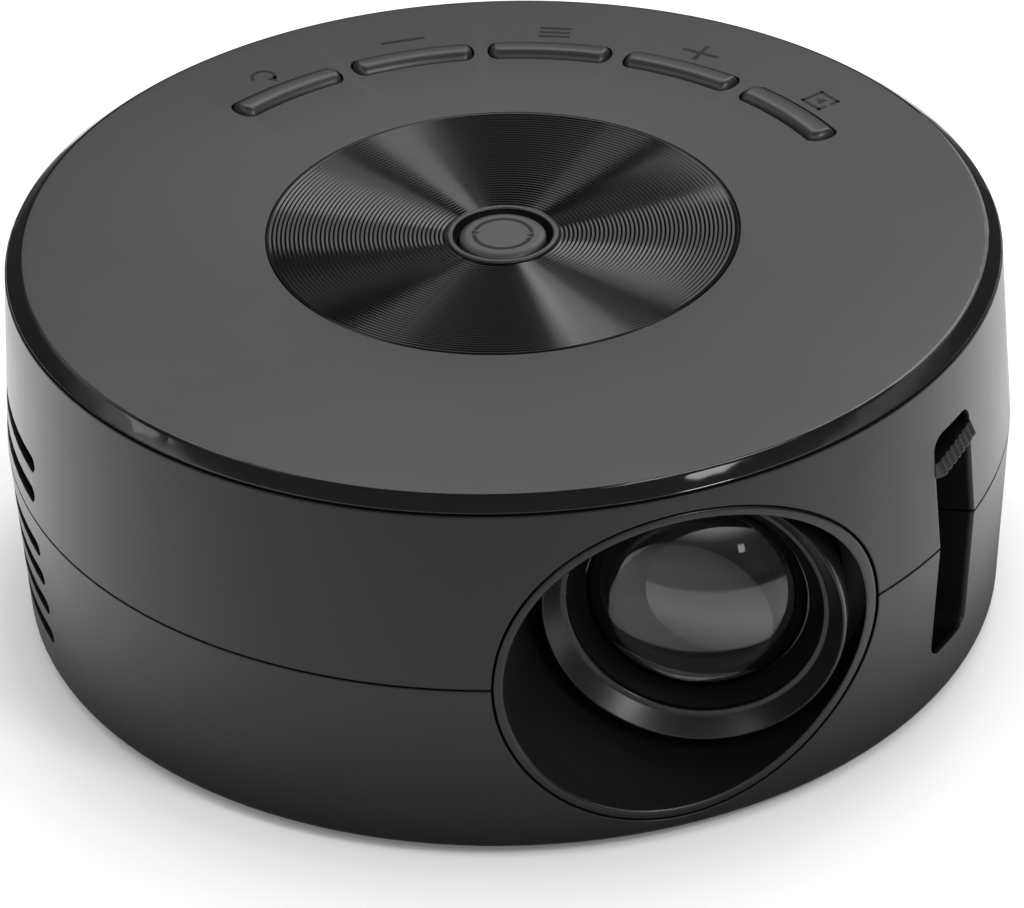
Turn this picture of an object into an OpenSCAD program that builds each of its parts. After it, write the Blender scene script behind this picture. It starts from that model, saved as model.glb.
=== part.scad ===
// A low round video projector. Two shells and a matte cover with a spun disc hold the lamp, the panel,
// the fan and the boards, and a lever in the side wall focuses the lens. Lengths are in millimetres.
// The origin is on the table under the middle of the body, +Z is up and the lens looks along -Y.

/* [Body] */
// Diameter at the seam between the shells, the widest place
body_d = 128; // [127:0.5:150]
// How much smaller the base is than the seam, on the radius
base_draft = 1.2; // [0.4:0.1:2]
// How much smaller the top of the wall is than the seam, on the radius
wall_draft = 1.5; // [0.4:0.1:2]
// Width of the polished edge round the top
edge_w = 2; // [1:0.1:3]
// Height of the polished edge round the top
edge_h = 1.5; // [1:0.1:2]
// Radius of the rounding round the base
base_round = 1.2; // [0.6:0.1:1.8]
// Thickness of the shell walls
wall = 2.2; // [1.8:0.1:2.6]
// Thickness of the floor
floor_t = 2.2; // [1.8:0.1:2.5]
// Thickness of the top cover
cover_t = 2.4; // [2.2:0.1:3]
// Width of the ledge that carries the top cover
ledge_w = 5; // [4.5:0.5:6]
// Thickness of the ledge that carries the top cover
ledge_t = 2.2; // [1.6:0.2:3]
// Height of the locating tongue inside the seam
tongue_h = 1.6; // [1:0.2:2.4]
// Thickness of the locating tongue
tongue_t = 1.2; // [0.8:0.1:1.6]
// Wall left above the lens bezel
brow_h = 4.25; // [4:0.25:8]
// Height of the seam above the lens axis
seam_rise = 0.5; // [0:0.1:1]

/* [Lens] */
// Distance of the lens axis from the right side of the body
lens_in = 35.5; // [34:0.5:38]
// Height of the bezel's lower edge above the base
bezel_rise = 2.25; // [2:0.05:4]
// Width of the bezel's face
bezel_w = 1.15; // [0.8:0.05:2]
// Thickness of the bezel's back plate
bezel_back_t = 1.5; // [1:0.1:2]
// Gap between the nose ring and the bezel's bore
recess_gap = 1.95; // [1.5:0.05:3]
// Depth of the nose ring behind the wall, on the lens axis
nose_set = 11.9; // [11:0.1:14]
// How far the nose ring stands out beyond the barrel, on the radius
nose_lip = 1.55; // [1:0.05:2]
// Length of the nose ring
nose_len = 4.2; // [3.6:0.1:4.4]
// Width of the nose ring's sloping face
nose_face = 2.2; // [1.8:0.1:2.4]
// Depth of the nose ring's sloping face
nose_slope = 2.3; // [1.5:0.1:2.4]
// Diameter of the lens barrel
barrel_d = 34; // [33:0.2:35]
// Length of the lens barrel
barrel_len = 27.6; // [27:0.2:29]
// Diameter of the lens elements
glass_d = 28; // [27:0.2:28.4]
// Clear aperture of the lens
aperture_d = 24; // [23:0.2:25.4]
// Thickness of the front lens at its rim
glass_rim = 2; // [1.6:0.1:2.6]
// Radius of the front lens's curve
glass_curve = 18.5; // [18:0.5:26]
// Width of the flat rim round the front lens's curve
dome_edge = 0.5; // [0.4:0.1:1]
// Depth of the front lens behind the barrel's front
glass_set = 2.2; // [2.1:0.1:3]
// Thickness of the front retaining ring
retainer_t = 2; // [1.5:0.1:2.4]
// Diameter of the front retaining ring's crest
crest_d = 31; // [29:0.1:31.4]
// Thickness of the rear lens at its rim
rear_rim = 3; // [2:0.1:3.4]
// Radius of the rear lens's curve
rear_curve = 26; // [22:0.5:40]

/* [Focus] */
// Depth of the lever's plane behind the nose ring's front
lever_set = 21; // [20.2:0.1:21.4]
// Width of the focus slot
slot_w = 8.7; // [8:0.1:9.4]
// Clearance between the tab's corners and the slot's round ends
slot_end = 0.4; // [0.3:0.05:0.8]
// Radius of the slot's corners
slot_round = 2; // [1.5:0.1:3.6]
// Wall of the pocket behind the slot
pocket_wall = 1.4; // [1:0.1:2]
// Angle of the lever above level at rest
lever_rest = 22.5; // [18:0.5:22.5]
// How far the lever turns down from rest
lever_down = 46; // [40:0.5:46]
// How far the lever turns up from rest
lever_up = 1; // [0:0.5:1]
// How far the lens moves back over the whole turn down
focus_travel = 4.2; // [3:0.1:4.2]
// Wall of the sleeve round the barrel
sleeve_wall = 2.15; // [1.8:0.05:2.4]
// Wall of the focus ring
ring_wall = 1.75; // [1.5:0.05:1.8]
// Width of the focus ring
ring_w = 9; // [8.8:0.1:9.4]
// Thickness of the lever's arm
arm_t = 3; // [2.4:0.1:3.2]
// Thickness of the lever's tab
tab_t = 2; // [1.6:0.1:2.4]
// How far the tab stands out of the wall at rest
tab_out = 0.6; // [0.3:0.1:1.2]
// Ribs across the tab's end
tab_ribs = 8; // [4:1:9]
// Depth of the grooves between the ribs
rib_deep = 0.35; // [0.2:0.05:0.5]
// Diameter of the focus pin
pin_d = 2; // [1.6:0.1:2.1]

/* [Vents] */
// Height of each vent slot
vent_h = 2.2; // [1.6:0.1:2.6]
// Half length of the vent slots along the wall
vent_half = 33; // [26:0.5:34]
// Distance between vent slots
vent_pitch = 4.4; // [4:0.1:4.6]
// Vent slots above the seam
vents_up = 2; // [1:1:3]
// Vent slots below the seam
vents_down = 4; // [2:1:4]

/* [Disc and button] */
// Diameter of the spun disc
disc_d = 59.4; // [50:0.2:64]
// Thickness of the spun disc at its edge
disc_t = 1.3; // [1.2:0.05:1.4]
// Depth of the disc's dish at its middle
dish = 0.9; // [0.3:0.05:1]
// Diameter of the collar round the button
collar_d = 14.1; // [13.6:0.1:18]
// Height of the collar above the disc
collar_rise = 0.3; // [0.2:0.05:0.6]
// Diameter of the button's cap
button_d = 11; // [8:0.1:11.2]
// Depth of the button's cap below the top face
button_set = 0.7; // [0.4:0.05:0.8]

/* [Keys] */
// Distance of the keys' arc from the edge of the top face
key_in = 14.05; // [13.5:0.05:17]
// Width of each key
key_w = 4.1; // [3.4:0.1:4.6]
// Length of each key in degrees
key_span = 20; // [14:0.25:20]
// Angle between keys
key_pitch = 22.75; // [22.5:0.05:23]
// Height of the keys above the top face
key_rise = 0.8; // [0.4:0.1:1.2]
// Bevel along the keys' top edges
key_bevel = 0.5; // [0.2:0.05:0.6]
// Travel of the keys and of the button
key_travel = 0.6; // [0.3:0.05:0.6]
// Width of the flange that keeps a key in
key_flange = 0.8; // [0.5:0.05:0.85]
// Thickness of the flange that keeps a key in
flange_t = 0.9; // [0.7:0.05:1.1]

/* [Optics] */
// Width of the panel's frame at each side of the panel
frame_side = 2.3; // [1.8:0.1:2.8]
// Height of the panel's frame above and below the panel
frame_edge = 0.8; // [0.7:0.05:1]
// Wall of the optics box
box_wall = 1.6; // [1.2:0.1:1.8]
// How far the optics box reaches over the light tunnel
box_over = 1; // [0.5:0.1:2]
// Width of the liquid-crystal panel
panel_w = 34; // [30:0.5:35]
// Height of the liquid-crystal panel
panel_h = 25; // [20:0.5:25.2]
// Thickness of the liquid-crystal panel
panel_t = 1.6; // [1:0.1:2]
// Thickness of the panel's frame
frame_t = 3.5; // [3:0.1:4]
// Thickness of the plates in the box
plate_t = 1.5; // [1:0.1:1.8]
// Gap between the plates in the box
plate_gap = 2; // [1.6:0.1:2.2]
// Length of the light tunnel
tunnel_len = 13.5; // [12:0.25:14]
// Half width of the light tunnel's lamp end
tunnel_end = 6.2; // [6:0.1:6.6]
// Wall of the light tunnel
tunnel_wall = 1.2; // [0.8:0.1:1.4]
// Width of the LED board
led_w = 22; // [21.6:0.2:24]
// Thickness of the LED board
led_t = 1.6; // [1.2:0.1:2]
// Half height of the heat sink
sink_half_h = 14.5; // [12.5:0.25:14.8]
// Width of the heat sink to the left of the lens axis
sink_left = 12; // [11.5:0.25:13]
// Width of the heat sink to the right of the lens axis
sink_right = 8.3; // [8:0.1:9]
// Thickness of the heat sink's base
sink_base = 3; // [2.5:0.1:3.2]
// Depth of the heat sink's fins
fin_depth = 6.4; // [4:0.1:6.6]
// Thickness of the heat sink's fins
fin_t = 1.2; // [0.8:0.1:1.4]
// Number of heat sink fins
fins = 7; // [5:1:8]

/* [Fan] */
// Width of the fan's frame
fan_w = 40; // [36:0.5:41]
// Thickness of the fan's frame
fan_t = 10; // [9.5:0.1:11]
// Wall of the fan's duct at its narrowest
duct_wall = 1; // [0.8:0.1:2]
// Diameter of the fan's hub
hub_d = 20; // [16:0.5:22]
// Number of fan blades
blades = 7; // [5:1:9]
// Pitch of the fan blades
blade_pitch = 35; // [25:1:40]
// Diameter of the fan's shaft
shaft_d = 2; // [1.5:0.1:3]

/* [Speaker] */
// Diameter of the speaker
speaker_d = 28; // [24:0.5:29]
// Height of the speaker
speaker_h = 7.6; // [7:0.1:9]

/* [Boards] */
// Height of the posts under the main board
standoff_h = 4.5; // [4.2:0.1:5]
// Thickness of the circuit boards
board_t = 1.4; // [1:0.1:1.6]
// Height of a key switch with its plunger
switch_h = 2.7; // [2.4:0.1:3]
// Height of the plunger on a key switch
plunger_h = 0.7; // [0.5:0.05:0.9]
// Height of the connectors on the main board
plug_h = 2.8; // [2.2:0.1:3.4]
// Thickness of the flat cables
ribbon_t = 0.4; // [0.3:0.05:0.6]

/* [Ports] */
// Direction of the port panel, counted from +X
port_az = 100; // [99:0.5:104]
// Width of the port panel
port_w = 39.6; // [38.4:0.2:40]
// Height of the port panel
port_h = 12.2; // [12:0.1:13]
// Thickness of the port panel
port_t = 1.6; // [1.2:0.1:1.8]
// Width of the USB socket
usb_w = 13.2; // [13:0.1:14]
// Height of the USB socket
usb_h = 5.8; // [5.6:0.1:6.2]
// Diameter of the audio jack's bore
audio_d = 3.6; // [3.5:0.05:3.7]
// Diameter of the power jack's bore
power_d = 5.6; // [5.4:0.05:5.8]
// Diameter of the power jack's pin
power_pin_d = 2; // [1.6:0.05:2.1]

/* [Feet and fasteners] */
// Height of the feet below the base
foot_h = 1.2; // [0.8:0.1:3]
// Diameter of the feet
foot_d = 10; // [8:0.5:11]
// Depth of the recess that holds a foot
foot_recess = 0.8; // [0.4:0.1:1.2]
// Distance of the feet's middles from the edge of the base
foot_in = 11.8; // [8:0.2:14]
// Diameter of the case posts
post_d = 7.2; // [7:0.1:7.4]
// Diameter of the case screws' shanks
screw_d = 2.5; // [2:0.1:2.6]
// Diameter of the case screws' heads
head_d = 4.8; // [4.2:0.1:5]
// Height of the case screws' heads
head_h = 1.8; // [1.4:0.1:2]
// Length of the case screws' shanks
case_screw_len = 17; // [14:0.5:20]
// Diameter of the small screws' shanks
small_d = 1.6; // [1.4:0.1:1.8]
// Diameter of the small screws' heads
small_head_d = 3.2; // [2.8:0.1:3.4]
// Height of the small screws' heads
small_head_h = 1.2; // [1:0.1:1.3]
// Diameter of the tripod thread, a quarter of an inch
tripod_d = 6.35; // [6.3:0.05:6.4]
// Depth of the tripod thread
tripod_depth = 8.8; // [6:0.1:10]
// Diameter of the tripod insert
insert_d = 11; // [9.5:0.1:12]

/* [Fits] */
// Clearance between fixed pieces that fit together
fit = 0.1; // [0.05:0.01:0.15]
// Clearance round the keys and the button
slide_gap = 0.25; // [0.2:0.05:0.35]
// Clearance on the radius of turning and sliding barrels
run_gap = 0.05; // [0.03:0.01:0.08]
// Clearance between moving pieces and what stops them
stop_gap = 0.3; // [0.2:0.05:0.4]
// Width of the shadow lines between outer pieces
seam_gap = 0.3; // [0.15:0.05:0.35]

/* [Hidden] */
$fn = 96;
// Longer than the body, for cuts that pass right through
reach = body_d;
// A little overlap for cuts through a face
cut = 0.5;

// Radii and heights of the body
nose_d = barrel_d + 2 * nose_lip;
bezel_bore_d = nose_d + 2 * recess_gap;
bezel_d = bezel_bore_d + 2 * bezel_w;
seam_r = body_d / 2;
lens_x = seam_r - lens_in;
base_r = seam_r - base_draft;
edge_r = seam_r - wall_draft;
top_r = edge_r - edge_w;
key_r = top_r - key_in;
base_z = foot_h;
floor_z = base_z + floor_t;
lens_z = base_z + bezel_rise + bezel_d / 2;
seam_z = lens_z + seam_rise;
body_h = lens_z + bezel_d / 2 + brow_h;
edge_z = body_h - edge_h;
cover_z = body_h - cover_t;
ledge_z = cover_z - ledge_t;
room_r = min(base_r, edge_r) - wall;
// Clearance between the wall and what stands near it
wall_gap = 0.6;
lower_top = seam_z - seam_gap / 2;
upper_low = seam_z + seam_gap / 2;
upper_top = edge_z - seam_gap;

// The wall's radius outside and inside, at a height
function outer_r(z) = z < seam_z
    ? base_r + (seam_r - base_r) * (z - base_z - base_round) / (seam_z - base_z - base_round)
    : seam_r + (edge_r - seam_r) * (z - seam_z) / (edge_z - seam_z);
function inner_r(z) = outer_r(z) - wall;
// Points along an arc in a profile
function arc(x, y, r, a0, a1, n = 6) =
    [for (i = [0 : n]) [x + r * cos(a0 + (a1 - a0) * i / n), y + r * sin(a0 + (a1 - a0) * i / n)]];

// The collar round the button
collar_step = 0.25;
collar_tube_r = collar_d / 2 - collar_step;
collar_tail = 0.6;
collar_low = cover_z - collar_tail;
collar_land = 0.6;
collar_slope = 0.7;
cap_bevel = 0.3;

// Places along the lens axis
wall_y = -sqrt(seam_r * seam_r - lens_x * lens_x);
nose_y = wall_y + nose_set;
barrel_r = barrel_d / 2;
nose_land = 0.5;
barrel_y0 = nose_y + nose_slope + nose_land;
barrel_y1 = barrel_y0 + barrel_len;
lever_y = nose_y + lever_set;
sleeve_bore_r = barrel_r + run_gap;
sleeve_r = barrel_r + sleeve_wall;
ring_bore_r = sleeve_r + run_gap;
ring_r = ring_bore_r + ring_wall;
ring_y0 = lever_y - ring_w / 2;
ring_y1 = lever_y + ring_w / 2;
clip_t = 1.2;
clip_y0 = ring_y0 - stop_gap - clip_t;
sleeve_nose = 3;
sleeve_y0 = clip_y0 - sleeve_nose;
sleeve_y1 = barrel_y1 + focus_travel + stop_gap;
bezel_y1 = sleeve_y0;
bezel_y0 = bezel_y1 - bezel_back_t;
glass_r = glass_d / 2;
aperture_r = aperture_d / 2;
dome_r = glass_r - dome_edge;
retainer_lip = 0.4;
glass_y0 = barrel_y0 + glass_set;
glass_y1 = glass_y0 + glass_rim;
front_wall = 0.8;
bore_front_r = barrel_r - front_wall;
rear_ring_t = 2.4;
rear_y1 = barrel_y1 - rear_ring_t;
rear_y0 = rear_y1 - rear_rim;

// The lever, its pin and the pocket that it swings in
lever_swing = max(lever_rest + lever_up, lever_down - lever_rest);
travel_per_deg = focus_travel / lever_down;
pin_r = pin_d / 2;
pin_y = lever_y - travel_per_deg * (lever_down - lever_up) / 2;
pocket_gap = 2.2;
pocket_x0 = lens_x + ring_r + pocket_gap;
pocket_x1 = pocket_x0 + pocket_wall;
slot_x = sqrt(seam_r * seam_r - lever_y * lever_y);
tab_end_r = outer_r(lens_z + (slot_x - lens_x) * tan(lever_rest)) + tab_out;
tab_from = (pocket_x1 + stop_gap - lens_x + tab_t / 2 * sin(lever_swing)) / cos(lever_swing);
tab_w = slot_w - 2 * slide_gap;
tab_len = max(tab_reach(-tab_w / 2), tab_reach(tab_w / 2));
tab_tip_h = tab_len * sin(lever_swing) + tab_t / 2 * cos(lever_swing);
slot_corner = slot_round - sqrt(slot_round * slot_round - pow(slot_round - slide_gap, 2));
slot_h = ceil(10 * 2 * (tab_tip_h + slot_corner + slot_end)) / 10;
slit_w = arm_t + 2 * stop_gap;
slit_h = 2 * ((pocket_x1 - lens_x) * tan(lever_swing) + arm_t / 2 / cos(lever_swing) + stop_gap);

// Case posts, as directions round the body
post_r = post_d / 2;
post_at = room_r + 0.75 * wall - post_r;
post_az = [-120, 140, 65, 12];

// The optics behind the lens
box_y0 = sleeve_y1;
box_collar_t = 2;
rest_at = 6;
rest_in = 4;
rest_t = 3;
cradle_half_w = 12;
cradle_t = 3;
cradle_h = 4;
plate_half_w = panel_w / 2 + frame_side;
plate_half_h = panel_h / 2 + frame_edge;
box_in_w = plate_half_w + fit;
box_in_h = plate_half_h + fit;
box_half_w = box_in_w + box_wall;
box_half_h = box_in_h + box_wall;
sink_x0 = lens_x - sink_left;
sink_x1 = lens_x + sink_right;
// The fins end short of the round wall and of the post behind them, and the rest stands in front of them
sink_gap = 2;
fin_y1 = min(sqrt(room_r * room_r - sink_x1 * sink_x1) - wall_gap,
             post_at * sin(post_az[2]) - post_r - sink_gap);
sink_y1 = fin_y1 - fin_depth;
led_y1 = sink_y1 - sink_base;
tunnel_y1 = led_y1 - led_t;
tunnel_y0 = tunnel_y1 - tunnel_len;
box_y1 = tunnel_y0 + box_over;
condenser_y0 = tunnel_y0 - plate_t;
condenser_gap = 1.5;
heat_y0 = condenser_y0 - condenser_gap - plate_t;
frame_y1 = heat_y0 - plate_gap;
frame_y0 = frame_y1 - frame_t;
frame_front = 1.2;
panel_y = frame_y0 + frame_front;
field_y0 = frame_y0 - plate_gap - plate_t;
sink_screw_at = tunnel_end + small_head_d / 2 + cut;

// The fan at the left wall
// A fan that reaches up to the cover's ledge stands inside the ledge
fan_room_r = floor_z + fan_w < ledge_z - small_head_h ? room_r : room_r - ledge_w;
fan_x0 = -sqrt(fan_room_r * fan_room_r - fan_w * fan_w / 4) + wall_gap;
fan_x1 = fan_x0 + fan_t;
fan_z = floor_z + fan_w / 2;
duct_r = fan_w / 2 - duct_wall;
blade_gap = 0.6;
blade_r = duct_r - blade_gap;
hub_r = hub_d / 2;
hub_plate_t = 1.2;
hub_gap = 0.5;
hub_set = 0.7;
hub_x0 = fan_x0 + hub_plate_t + hub_gap;
hub_x1 = fan_x1 - hub_set;
hub_wall = 1.5;
rail_w = 2;
rail_h = 8;
rail_len = 8;

// The speaker, the tripod boss and the intake in the floor
speaker_x = -20;
speaker_y = -24;
speaker_r = speaker_d / 2;
basket_w = 6;
magnet_r = speaker_r - basket_w;
magnet_h = 3;
magnet_z = speaker_h - magnet_h;
basket_t = 1.2;
basket_rim = 1.4;
rim_w = 2;
cone_r = speaker_r - rim_w;
cone_t = 0.5;
cone_cap_r = 4;
speaker_wall = 1.4;
speaker_ring_h = 3;
insert_r = insert_d / 2;
insert_top = base_z + tripod_depth;
boss_wall = 2;
intake_gap = 5;
intake_x = fan_x1 + intake_gap;
intake_y = 6;
intake_len = 26;
intake_w = 2;
intake_pitch = 4;
intakes = 3;

// The boards
board_z = floor_z + standoff_h;
board_top = board_z + board_t;
key_top = cover_z - fit - flange_t;
stem_len = 0.9;
stem_d = 3;
stem_low = key_top - stem_len;
plunger_top = stem_low - key_travel - fit;
key_board_top = plunger_top - switch_h;
key_board_z = key_board_top - board_t;
key_group_az = 90;
key_count = 5;
key_r0 = key_r - key_w / 2;
key_r1 = key_r + key_w / 2;
key_flange_deg = key_flange / key_r * 180 / PI;
key_board_deg = key_pitch * (key_count - 1) + key_span + 8;
boss_r = 2.2;
boss_gap = 0.7;
// Screws of the key board: two beside the button, two inside the arc of keys
button_screw_r = collar_d / 2 + boss_r + boss_gap;
button_screw_x = button_screw_r * cos(60);
button_screw_y = -button_screw_r * sin(60);
key_screw_r = key_r0 - key_flange - boss_r - 2 * boss_gap;
key_screw_x = key_screw_r * cos(60);
key_screw_y = key_screw_r * sin(60);
key_board_at = [
    [button_screw_x, button_screw_y], [-button_screw_x, button_screw_y],
    [key_screw_x, key_screw_y], [-key_screw_x, key_screw_y]
];
key_board_in = key_screw_r - boss_r - cut;
key_board_rim = 5.5;
key_board_out = key_r + key_board_rim;
key_board_half = button_screw_x + boss_r + 4 * cut;
key_board_y0 = button_screw_y - boss_r - cut;
key_boss_deep = 4.5;

// The ports, in a frame turned so that +Y points out of the panel
port_drop = 0.2;
port_low = board_z - port_drop;
port_mid = port_low + port_h / 2;
port_y1 = sqrt(pow(outer_r(port_mid), 2) - port_w * port_w / 4) - wall_gap;
port_y0 = port_y1 - port_t;
port_lip = 1.2;
port_frame = 1.5;
port_in = port_y0 - port_lip;
socket_set = 0.3;
socket_y1 = port_y1 - socket_set;
socket_len = 14;
usb_x = -10.5;
audio_x = 2;
audio_body_w = 6.4;
audio_nose_r = 2.6;
audio_z = board_top + audio_nose_r + port_drop;
audio_len = 11;
power_x = 12.3;
power_body_w = 8.4;
power_body_h = 8.6;
power_z = board_top + power_body_h / 2;
power_len = 9.5;
power_nose_r = power_d / 2 + 0.9;
board_y1 = port_in - port_drop;
// The main board's outline, its screws and its parts, in the same frame and from its rear edge
board_x0 = -30;
board_x1 = 16.5;
board_len = 46.6;
board_y0 = board_y1 - board_len;
board_step_x = 4;
board_step_len = 30.6;
board_step_y = board_y1 - board_step_len;
board_corner = 12;
screw_a = [-14, -43.6];
screw_b = [0, -33.6];
screw_c = [-19, -6.6];
screw_d_at = [13, -15.6];
board_at = [for (at = [screw_a, screw_b, screw_c, screw_d_at]) [at[0], board_y1 + at[1]]];
chip_at = [-20, -26];
chip_w = 12;
chip_h = 1.4;
coil_at = [-4, -23.6];
coil_w = 7;
coil_h = 4;
can_at = [[-24, -22], [-24, -14.4]];
can_r = 3;
can_h = 7;

// Cables and their connectors on the main board
flex_x = -7.5;
flex_w = 11;
flex_y = panel_y + panel_t / 2;
plug_top = board_top + plug_h;
plug_d = 3;
key_ribbon_x = -5;
key_ribbon_w = 7;
key_ribbon_set = 29.6;
key_ribbon_y = board_y1 - key_ribbon_set;
lead_w = 3;
lead_t = 1.2;
lead_drop = 0.4;
fan_lead_y = fan_w / 4 + rail_len / 2 + lead_w / 2 + 1;
fan_plug_x = -28;
speaker_plug_set = 40.6;
speaker_plug_y = board_y1 - speaker_plug_set;
led_plug_x = 4;
led_lead_y = tunnel_y1 + led_t / 2;

// Case screws, cover screws and feet, as directions round the body
case_head_z = seam_z - case_screw_len / 2;
cover_screw_at = room_r - 2.2;
cover_screw_az = [38, 105, 195, -97];
foot_at = base_r - foot_in;
foot_az = [45, 135, 225, 315];

body_black = [0.13, 0.13, 0.14];
top_grey = [0.27, 0.27, 0.28];
bright_metal = [0.72, 0.73, 0.75];
board_green = [0.08, 0.3, 0.16];
cable_white = [0.85, 0.85, 0.82];

// A block between two corners
module block(low, high) {
    translate(low) cube(high - low);
}

// A shape turned about the lens axis, from points of radius and place along Y
module lens_turn(points) {
    translate([lens_x, 0, lens_z])
        rotate([-90, 0, 0])
            rotate_extrude() polygon(points);
}

// A rod along the lens axis
module lens_rod(r, y0, y1) {
    translate([lens_x, y0, lens_z])
        rotate([-90, 0, 0])
            cylinder(r = r, h = y1 - y0);
}

// A bar along X whose end view is a rectangle with round corners
module round_bar_x(x0, x1, y, z, w, h, r) {
    block([x0, y - w / 2 + r, z - h / 2], [x1, y + w / 2 - r, z + h / 2]);
    block([x0, y - w / 2, z - h / 2 + r], [x1, y + w / 2, z + h / 2 - r]);
    for (dy = [-1, 1], dz = [-1, 1])
        translate([x0, y + dy * (w / 2 - r), z + dz * (h / 2 - r)])
            rotate([0, 90, 0])
                cylinder(r = r, h = x1 - x0);
}

// Part of a ring with a square section, centred on a direction
module arc_bar(r0, r1, z0, z1, span, az) {
    rotate([0, 0, az - span / 2])
        rotate_extrude(angle = span)
            polygon([[r0, z0], [r1, z0], [r1, z1], [r0, z1]]);
}

// A screw that points up, with its head's seat at the origin and a cross in its head
module screw(shank_d, shank_len, top_d, top_h) {
    cylinder(d = shank_d, h = shank_len);
    translate([0, 0, -top_h])
        difference() {
            cylinder(d = top_d, h = top_h);
            for (turn = [0, 90])
                rotate([0, 0, turn])
                    translate([-top_d * 0.32, -top_d * 0.07, -cut])
                        cube([top_d * 0.64, top_d * 0.14, cut + top_h * 0.5]);
        }
}

// Copies at a distance from the middle, one for each direction
module around(distance, directions) {
    for (az = directions)
        rotate([0, 0, az])
            translate([distance, 0, 0])
                children();
}

// The frame of the port panel, with +Y pointing out of it
module port_side() {
    rotate([0, 0, port_az - 90]) children();
}

// The body's outside, drawn in by an amount on the radius
module envelope(inset = 0) {
    rotate_extrude()
        polygon([
            [0, base_z], [base_r - inset, base_z], [seam_r - inset, seam_z], [edge_r - inset, edge_z],
            [0, edge_z]
        ]);
}

// The opening that the bezel sits in
module bezel_opening() {
    lens_rod(bezel_d / 2 + seam_gap, -reach, bezel_y1 + stop_gap);
}

// The slot for the lever and the slit behind it
module focus_slot() {
    round_bar_x(pocket_x1, reach, lever_y, lens_z, slot_w, slot_h, slot_round);
    block([pocket_x0 - cut, lever_y - slit_w / 2, lens_z - slit_h / 2],
          [pocket_x1 + cut, lever_y + slit_w / 2, lens_z + slit_h / 2]);
}

// The pocket's walls, inside the shells
module pocket(z0, z1, grow = 0) {
    half_w = slot_w / 2 + pocket_wall + grow;
    half_h = slot_h / 2 + pocket_wall + grow;
    intersection() {
        block([pocket_x0 - grow, lever_y - half_w, max(z0, lens_z - half_h)],
              [reach, lever_y + half_w, min(z1, lens_z + half_h)]);
        envelope(wall / 2);
    }
}

// One vent slot through the left wall
module vent(z) {
    difference() {
        round_bar_x(-reach, 0, 0, z, 2 * vent_half, vent_h, vent_h / 2 - 0.01);
        translate([0, 0, z - vent_h]) cylinder(r = room_r - cut, h = 2 * vent_h);
    }
}

module top_cover() {
    color(top_grey)
        difference() {
            union() {
                rotate_extrude()
                    polygon([
                        [collar_tube_r + fit, cover_z], [inner_r(edge_z) - fit, cover_z],
                        [inner_r(edge_z) - fit, edge_z], [edge_r, edge_z], [top_r, body_h],
                        [disc_d / 2 + fit, body_h], [disc_d / 2 + fit, body_h - disc_t],
                        [collar_tube_r + fit, body_h - disc_t]
                    ]);
                for (at = key_board_at)
                    translate([at[0], at[1], key_board_top])
                        cylinder(r = boss_r, h = cover_z - key_board_top + cut);
            }
            for (i = [0 : key_count - 1])
                arc_bar(key_r0 - slide_gap, key_r1 + slide_gap, cover_z - cut, body_h + cut,
                        key_span + 2 * slide_gap / key_r * 180 / PI, key_az(i));
            for (at = key_board_at)
                translate([at[0], at[1], key_board_top - cut])
                    cylinder(d = small_d + fit, h = key_boss_deep + cut);
            around(cover_screw_at, cover_screw_az)
                translate([0, 0, cover_z - cut])
                    cylinder(d = small_d + fit, h = cut + cover_t * 0.7);
        }
}

module upper_shell() {
    color(body_black)
        difference() {
            union() {
                rotate_extrude()
                    polygon([
                        [outer_r(upper_low), upper_low], [outer_r(upper_top), upper_top],
                        [inner_r(upper_top), upper_top], [inner_r(upper_low), upper_low]
                    ]);
                rotate_extrude()
                    polygon([
                        [room_r - ledge_w, ledge_z], [inner_r(cover_z) + wall / 2, ledge_z],
                        [inner_r(cover_z) + wall / 2, cover_z], [room_r - ledge_w, cover_z]
                    ]);
                seam_tongue();
                pocket(upper_low, body_h);
                around(post_at, post_az)
                    translate([0, 0, seam_z])
                        cylinder(r = post_r, h = ledge_z - seam_z + cut);
            }
            bezel_opening();
            focus_slot();
            for (i = [0 : vents_up - 1])
                vent(seam_z + vent_pitch * (i + 0.75));
            around(post_at, post_az)
                translate([0, 0, seam_z - cut])
                    cylinder(d = screw_d + fit, h = case_screw_len / 2 + 1 + cut);
            around(cover_screw_at, cover_screw_az)
                translate([0, 0, ledge_z - cut])
                    cylinder(d = small_d + 2 * fit, h = ledge_t + 2 * cut);
        }
}

// The ring inside the seam, cut away where the lower shell has a post or the pocket
module seam_tongue() {
    tongue_r = inner_r(lower_top) - fit;
    difference() {
        rotate_extrude()
            polygon([
                [tongue_r - tongue_t, seam_z - tongue_h], [tongue_r, seam_z - tongue_h],
                [tongue_r, upper_low], [inner_r(upper_low) + wall / 2, upper_low],
                [inner_r(upper_low) + wall / 2, upper_low + 2], [tongue_r - tongue_t, upper_low + 2]
            ]);
        around(post_at, post_az)
            translate([0, 0, seam_z - tongue_h - cut])
                cylinder(r = post_r + fit, h = tongue_h + cut);
        pocket(seam_z - tongue_h - cut, upper_low, fit);
    }
}

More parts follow.
